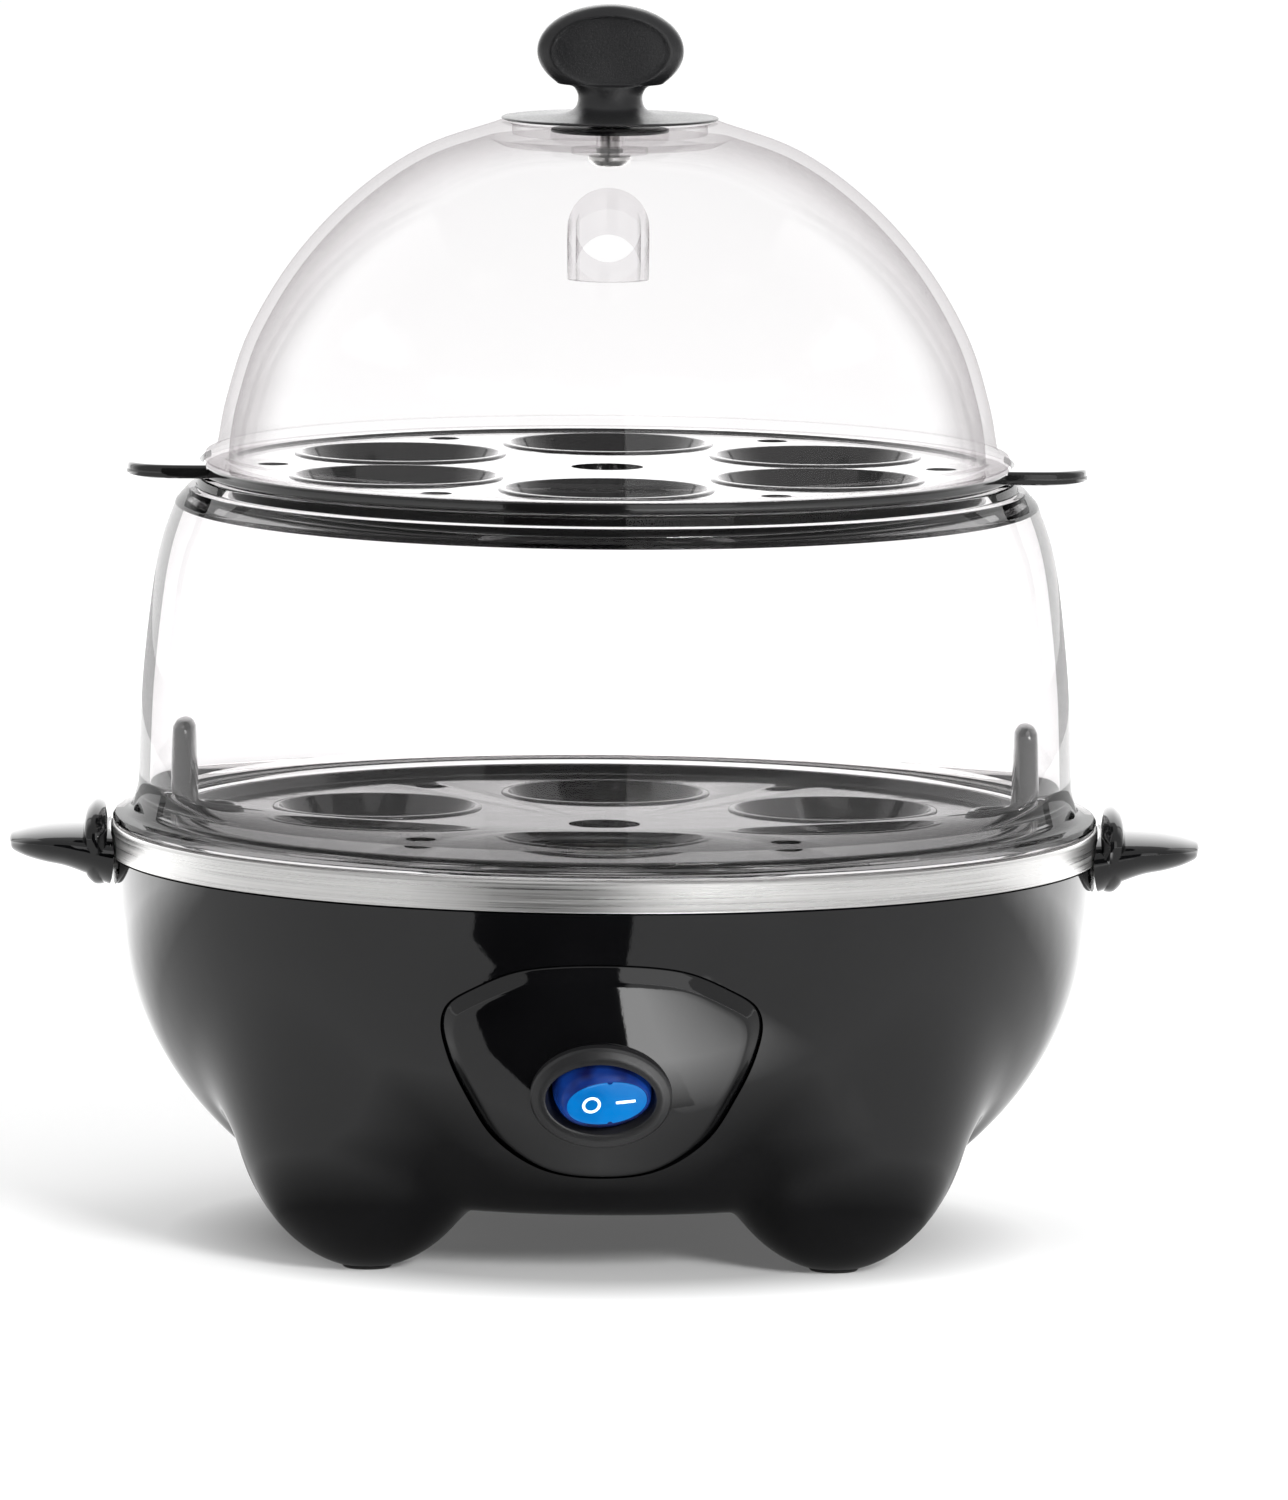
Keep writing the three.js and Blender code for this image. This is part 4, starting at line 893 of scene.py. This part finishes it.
def offset_line(points, growth):
    """The curve moved along its outward normal."""
    made = []
    for i, (r, z) in enumerate(points):
        before, after = points[max(i - 1, 0)], points[min(i + 1, len(points) - 1)]
        across, up = after[0] - before[0], after[1] - before[1]
        step = growth / math.hypot(across, up)
        made.append((r + step * up, z - step * across))
    return made


def make_lid():
    """The dome with its dished top, and a short tube through its wall as the steam vent."""
    profile = rounded([
        (73.7, LID_FLANGE_Z, 0.4), (78.1, LID_FLANGE_Z, 0.4), (78.5, 152.4, 0.3), (78.2, 153.7, 0.5),
        (76.4, 154.1, 0.6), *LID_CURVE[1:], (20.4, LID_TOP_Z, 0.3), (19, LID_TOP_Z - 0.6, 0.3),
        (19, LID_DISH_Z, 0.5), (2.6, LID_DISH_Z, 0.3), (2.6, LID_DISH_UNDER_Z, 0.3),
        (20.6, LID_DISH_UNDER_Z, 1.5),
        *[p for p in offset_line(LID_CURVE, -WALL)[::-1] if p[0] > 22.5 and p[1] > 156],
    ], True, 5)
    vent = (0, VENT_Y)
    lid = mesh_object("lid_dome_look", [turned(profile)], 28)
    combined(lid, [("DIFFERENCE", [cylinder(VENT_HOLE, 180, 220, 96, vent)])], 28)
    tube = mesh_object("lid_collar", [cylinder(VENT_OUTER, 192, 214, 96, vent)])
    grown = [p for p in offset_line(LID_CURVE, 1.1) if p[1] > 160]
    shrunk = [p for p in offset_line(LID_CURVE, -WALL - 2.6)[::-1] if p[1] > 160]
    crust = grown + [(0.02, grown[-1][1]), (0.02, shrunk[0][1])] + shrunk
    combined(tube, [("INTERSECT", [turned(crust)]),
                    ("DIFFERENCE", [cylinder(VENT_BORE, 180, 220, 96, vent)])], 28)
    wall_faces = len(lid.data.polygons)
    joined(lid, [tube], 28)
    dress(lid, clear_thin, "lid", "clear_plastic", "lid_dome")
    lid.data.materials.append(clear_tube)
    for face in lid.data.polygons[wall_faces:]:
        face.material_index = 1
    return lid


make_lid()


# Half width, half depth, roundness and height above the knob's seat.
KNOB_STEM = [
    (20.8, 20.8, 2, 0), (21.05, 21.05, 2, 0.12), (21.1, 21.1, 2, 0.3), (20.9, 20.9, 2, 0.5),
    (20.0, 20.0, 2, 0.56), (17.0, 17.0, 2, 0.62), (13.0, 13.0, 2, 0.8), (9.6, 9.4, 2, 1.1),
    (7.6, 7.2, 2, 1.7), (6.6, 5.9, 2, 2.6), (6.25, 5.2, 2.05, 4.0), (6.4, 4.9, 2.1, 5.2),
    (7.4, 4.8, 2.2, 6.5),
]


def dished(point):
    """A point of the paddle, moved in where it lies within the oval dish of either face."""
    x, y, z = point
    half_x, half_z, depth = PADDLE_DISH
    reach = (x / half_x) ** 2 + ((z - PADDLE_Z) / half_z) ** 2
    if reach >= 1:
        return point
    return x, math.copysign(max(abs(y) - depth * (1 - reach) ** 0.6, 0.5), y), z


def make_knob():
    half_width, half_height = PADDLE_HALF
    stations = [(a, b, power, KNOB_Z + rise) for a, b, power, rise in KNOB_STEM]
    for angle in np.radians(np.arange(-46, 88, 5)):
        c = math.cos(angle)
        stations.append((half_width * c, 4.7 * c ** 0.45, 2.5,
                         PADDLE_Z + half_height * math.sin(angle)))
    stations.append((0.9, 1.2, 2.2, PADDLE_Z + half_height * 0.9995))
    rings = [[dished(p) for p in oval(a, b, z, power, 96)] for a, b, power, z in spline(stations, 3)]
    plug = turned(rounded([
        (0.01, 216.3), (11.5, 216.3, 0.3), (11.5, 217.0, 0.3), (4, 217.2, 0.5), (4, KNOB_Z + 0.2),
        (0.01, KNOB_Z + 0.2),
    ], True, 4), 96)
    knob = mesh_object("lid_knob_look", [surface(rings, False, (True, True)), plug], 40)
    return dress(knob, satin_black, "lid", "satin_plastic", "lid_knob")


make_knob()

# ---- Small parts ---------------------------------------------------------------------------------

for place, x, y in (("front_left", -1, -1), ("front_right", 1, -1),
                    ("rear_left", -1, 1), ("rear_right", 1, 1)):
    pad = turned(rounded([(0.01, 0), (4.8, 0, 0.7), (4.8, 3.2, 0.3), (0.01, 3.2)], True, 5), 64, True,
                 (x * LOBE_OFFSET, y * LOBE_OFFSET, 0))
    foot = f"rubber_foot_{place}"
    dress(mesh_object(foot + "_look", [pad]), rubber, "base", "foot_rubber", foot)


def make_screw(name, place, head, height, shank, length, body):
    """A screw with a domed head and a cross recess, its head's underside at the place."""
    outline = rounded([
        (0.01, -height), (head * 0.7, -height, head * 0.4), (head, -height * 0.45, height * 0.3),
        (head, 0, 0.15), (shank, 0, 0.1), (shank, length - shank), (0.01, length),
    ], True, 5)
    made = mesh_object(name + "_look", [turned(outline, SMALL_STEPS)])
    arms = [surface([oval(a, b, z, 6, 32) for z in (-height - 1, -height * 0.35)], False, (True, True))
            for a, b in ((head * 0.55, head * 0.13), (head * 0.13, head * 0.55))]
    combined(made, [("DIFFERENCE", [arm]) for arm in arms], 40)
    made.data.transform(Matrix.Translation(Vector(place) * MM))
    return dress(made, screw_steel, body, "fastener_steel", name)


def make_underside():
    disc = turned(rounded([
        (0.01, COVER_UNDER), (32.5, COVER_UNDER, 0.6), (32.5, COVER_TOP, 0.2), (0.01, COVER_TOP),
    ], True, 5))
    plug = turned(rounded([
        (16.5, COVER_TOP - 0.4), (19.65, COVER_TOP - 0.4), (19.65, COVER_TOP + 2.8, 0.4),
        (16.5, COVER_TOP + 2.8, 0.4),
    ], True, 4), 96)
    cover = mesh_object("bottom_cover_look", [disc])
    slots = [surface([oval(1, 10, z, 8, 48, x) for z in (COVER_UNDER - 1, COVER_TOP + 1)],
                     False, (True, True)) for x in (-8, 0, 8)]
    holes = [cylinder(1.8, 5, 20, 32, place) for place in COVER_SCREWS]
    combined(cover, [("DIFFERENCE", slots + holes)])
    joined(cover, [mesh_object("bottom_cover_plug", [plug])])
    dress(cover, satin_black, "base", "satin_plastic", "bottom_cover")
    for number, (x, y) in enumerate(COVER_SCREWS, 1):
        make_screw(f"cover_screw_{number}", (x, y, COVER_UNDER - GAP), 3, 1.6, 1.4, 9, "base")


make_underside()


def make_gland():
    profile = rounded([
        (3.2, -9), (5, -9), (5.2, 0.5), (8.6, 0.5, 0.3), (8.6, 1.7, 0.7), (7.4, 2.7, 0.8),
        (5.6, 3.1, 0.8), (5.0, 6.5, 0.5), (3.2, 6.5, 0.5),
    ], True, 5)
    sleeve = mesh_object("cord_gland_look", [turned(profile, 96)])
    grooves = [turned([(4.3, z), (9.5, z), (9.5, z + 0.6), (4.3, z + 0.6)], 64) for z in (4.0, 5.2)]
    combined(sleeve, [("DIFFERENCE", grooves)])
    place = Matrix.Translation(Vector(GLAND_PLACE) * MM) @ Matrix.Rotation(GLAND_TILT, 4, "X")
    sleeve.data.transform(place)
    return dress(sleeve, rubber, "base", "satin_plastic", "cord_gland")


make_gland()

WASHER_TOP = LID_DISH_UNDER_Z - GAP
WASHER_UNDER = WASHER_TOP - 1.2
washer = turned(rounded([
    (2.6, WASHER_UNDER, 0.2), (7.5, WASHER_UNDER, 0.4), (7.5, WASHER_TOP, 0.3), (2.6, WASHER_TOP, 0.2),
], True, 4), 96)
dress(mesh_object("knob_washer_look", [washer]), clear_thin, "lid", "satin_plastic", "knob_washer")
make_screw("knob_screw", (0, 0, WASHER_UNDER - GAP), 4.2, 2, 2, 13.5, "lid")

slots_by_node = {part["node"]: part["material_slot"] for part in frame["record"]["subparts"]}
for name, node in frame["nodes"].items():
    look = SLOT_LOOKS[slots_by_node[name]]
    for index in range(len(node.material_slots)):
        node.material_slots[index].material = look
    if not node.material_slots:
        node.data.materials.append(look)

# ---- Stage, light and camera ---------------------------------------------------------------------


# The floor and everything below it is in metres, apart from the cards' corners.
FLOOR_HALF = 12.0
WORLD_LIGHT = 0.62
WORLD_SEEN = 1.0
WHITE = (1, 1, 1, 1)
JUST_ABOVE_FLOOR = 0.0005
OTHER_RAYS = ("camera", "diffuse", "transmission", "shadow", "volume_scatter")


def spot_and_distance(r):
    """Where a point is, and how far it is from the middle of the floor."""
    spot = r.add("TexCoord").outputs["Object"]
    return spot, r.add("VectorMath", {"operation": "LENGTH"}, _0=spot).outputs["Value"]


def make_stage():
    """A wide pale floor, flat so that the object is seen from every side. It glows with painted light,
    dimmest under the object as a painted shadow there.
    """
    corners = [(-1, -1, 0), (1, -1, 0), (1, 1, 0), (-1, 1, 0)]
    mesh = plain_mesh("studio_floor", corners, [(0, 1, 2, 3)], FLOOR_HALF)
    r = Recipe("studio_floor_look")
    reach = spot_and_distance(r)[1]
    # Painted light: the glow is lowest under the object, a painted shadow, and rises with distance.
    near, far = r.span(reach, 0.1, 0.45, 0.06, 0.086), r.span(reach, 0.0, 0.22, 0.2, 0.6)
    painted_floor_light = r.math("ADD", near, far)
    shader = r.add("BsdfPrincipled", Base_Color=(0.55, 0.55, 0.55, 1), Roughness=0.9,
                   Specular_IOR_Level=0.0, Emission_Color=WHITE, Emission_Strength=painted_floor_light)
    mesh.materials.append(r.finish(shader.outputs[0]))
    linked("studio_floor", mesh)


make_stage()


def seen_in_reflections(mesh, material):
    """Stages a mesh that only reflections see."""
    mesh.materials.append(material)
    card = linked(mesh.name, mesh)
    for ray in OTHER_RAYS:
        setattr(card, "visible_" + ray, False)


def reflected_card(name, corners, strength, fade=((0.0, 0.0), (0.0, 0.0))):
    """A flat panel of even light, faded over the given shares of its length and width."""
    r = Recipe(name + "_look")
    light = r.add("Emission", Color=WHITE, Strength=strength).outputs[0]
    for axis, (start, end) in enumerate(fade):
        if not (start or end):
            continue
        spot = r.add("TexCoord").outputs["Generated"]
        along = r.add("SeparateXYZ", Vector=spot).outputs[axis]
        nothing = r.add("BsdfTransparent").outputs[0]
        if start:
            share = r.span(along, 0.0, 1.0, 0.0, start)
            light = r.add("MixShader", Fac=share, _1=nothing, _2=light).outputs[0]
        if end:
            share = r.span(along, 1.0, 0.0, 1.0 - end, 1.0)
            light = r.add("MixShader", Fac=share, _1=nothing, _2=light).outputs[0]
    seen_in_reflections(plain_mesh(name, corners, [tuple(range(len(corners)))], MM), r.finish(light))


def reflected_floor():
    """The floor in reflections: a painted shadow under the object and round its feet, brightest behind
    it.
    """
    ring = [(math.cos(t), math.sin(t), JUST_ABOVE_FLOOR) for t in np.radians(np.arange(0, 360, 5))]
    mesh = plain_mesh("reflected_floor", ring, [tuple(range(len(ring)))])
    r = Recipe("reflected_floor_look")
    spot, reach = spot_and_distance(r)
    mirrored = r.add("VectorMath", {"operation": "ABSOLUTE"}, _0=spot).outputs[0]
    foot = (LOBE_OFFSET * MM, LOBE_OFFSET * MM, JUST_ABOVE_FLOOR)
    from_foot = r.add("VectorMath", {"operation": "DISTANCE"}, _0=mirrored, _1=foot).outputs["Value"]
    # Painted shadow: no light under the object and round its feet.
    clear_of_painted_shadow = r.math("MULTIPLY", r.span(reach, 0.0, 1.0, 0.064, 0.08),
                    r.span(from_foot, 0.1, 1.0, 0.028, 0.06))
    behind = r.add("SeparateXYZ", Vector=spot).outputs[1]
    painted_floor_light = r.math("MULTIPLY", r.span(clear_of_painted_shadow, 0.08, 0.8, 0.0, 1.0), r.span(behind, 1.0, 3.4, 0.09, 0.3))
    light = r.add("Emission", Color=WHITE, Strength=painted_floor_light).outputs[0]
    seen_in_reflections(mesh, r.finish(light))


reflected_floor()
reflected_card("dark_table_edge", [
    (-14, -105, 1), (-50, -138, 1), (-78, -178, 1), (-100, -262, 1), (-190, -371, 1),
    (-760, -1400, 1), (170, -1400, 1), (24, -280, 1), (16, -215, 1), (23, -150, 1), (30, -125, 1),
    (30, -105, 1)], 0.01)
reflected_card("dark_wall", [
    (-760, -1400, 0), (130, -1400, 0), (130, -1400, 1100), (-760, -1400, 1100)], 0.02)
reflected_card("window_glare", [
    (26, -101, 1.5), (90, -101, 1.5), (90, -240, 1.5), (12, -240, 1.5), (12, -150, 1.5),
    (13.5, -126, 1.5), (19, -108, 1.5)], 5.6, ((0.0, 0.8), (0.0, 0.25)))
reflected_card("bright_wall", [
    (140, -1400, 60), (1000, -1400, 60), (1000, -1400, 1300), (140, -1400, 1300)], 1.5)
reflected_card("wall_behind", [
    (-1300, 1500, 0), (1300, 1500, 0), (1300, 1500, 2200), (-1300, 1500, 2200)], 2.4)
for name, x in (("left_wall", -1400), ("right_wall", 1400)):
    reflected_card(name, [(x, 100, 0), (x, 1400, 0), (x, 1400, 2200), (x, 100, 2200)], 1.7,
                   ((0.0, 0.0), (0.8, 0.0)))


def area_light(name, place, target, side, power):
    data = bpy.data.lights.new(name, "AREA")
    data.shape = "SQUARE"
    data.size = side
    data.energy = power
    lamp = linked(name, data)
    lamp.location = place
    lamp.rotation_euler = (Vector(target) - Vector(place)).to_track_quat("-Z", "Y").to_euler()
    lamp.visible_glossy = False


area_light("softbox_front", (0.75, -1.7, 0.8), (0, 0, 0.05), 0.45, 50)
area_light("softbox_top", (0.1, -0.3, 2.0), (0, 0, 0.1), 1.6, 20)


def make_air():
    """An even white surround that is dimmer as a lamp than as it is seen."""
    world = bpy.data.worlds.new("studio_air")
    world.use_nodes = True
    nodes, links = world.node_tree.nodes, world.node_tree.links
    nodes["Background"].inputs["Color"].default_value = WHITE
    ray = nodes.new("ShaderNodeLightPath")
    seen = nodes.new("ShaderNodeMath")
    seen.operation = "MAXIMUM"
    links.new(ray.outputs["Is Camera Ray"], seen.inputs[0])
    links.new(ray.outputs["Is Transmission Ray"], seen.inputs[1])
    level = nodes.new("ShaderNodeMapRange")
    level.inputs["To Min"].default_value = WORLD_LIGHT
    level.inputs["To Max"].default_value = WORLD_SEEN
    links.new(seen.outputs[0], level.inputs["Value"])
    links.new(level.outputs[0], nodes["Background"].inputs["Strength"])
    bpy.context.scene.world = world


make_air()
bpy.context.scene.view_settings.view_transform = "Standard"

CAMERA_PLACE = (0.0076, -2.9, 0.428)
CAMERA_DOWN = math.radians(6.54)
CAMERA_ROLL = math.radians(0.47)

camera_data = bpy.data.cameras.new("camera")
camera_data.sensor_width = 36
camera_data.lens = 359
camera_data.clip_end = 30
camera = linked("camera", camera_data)
camera.matrix_world = (Matrix.Translation(CAMERA_PLACE)
                       @ Matrix.Rotation(math.pi / 2 - CAMERA_DOWN, 4, "X")
                       @ Matrix.Rotation(CAMERA_ROLL, 4, "Z"))
bpy.context.scene.camera = camera
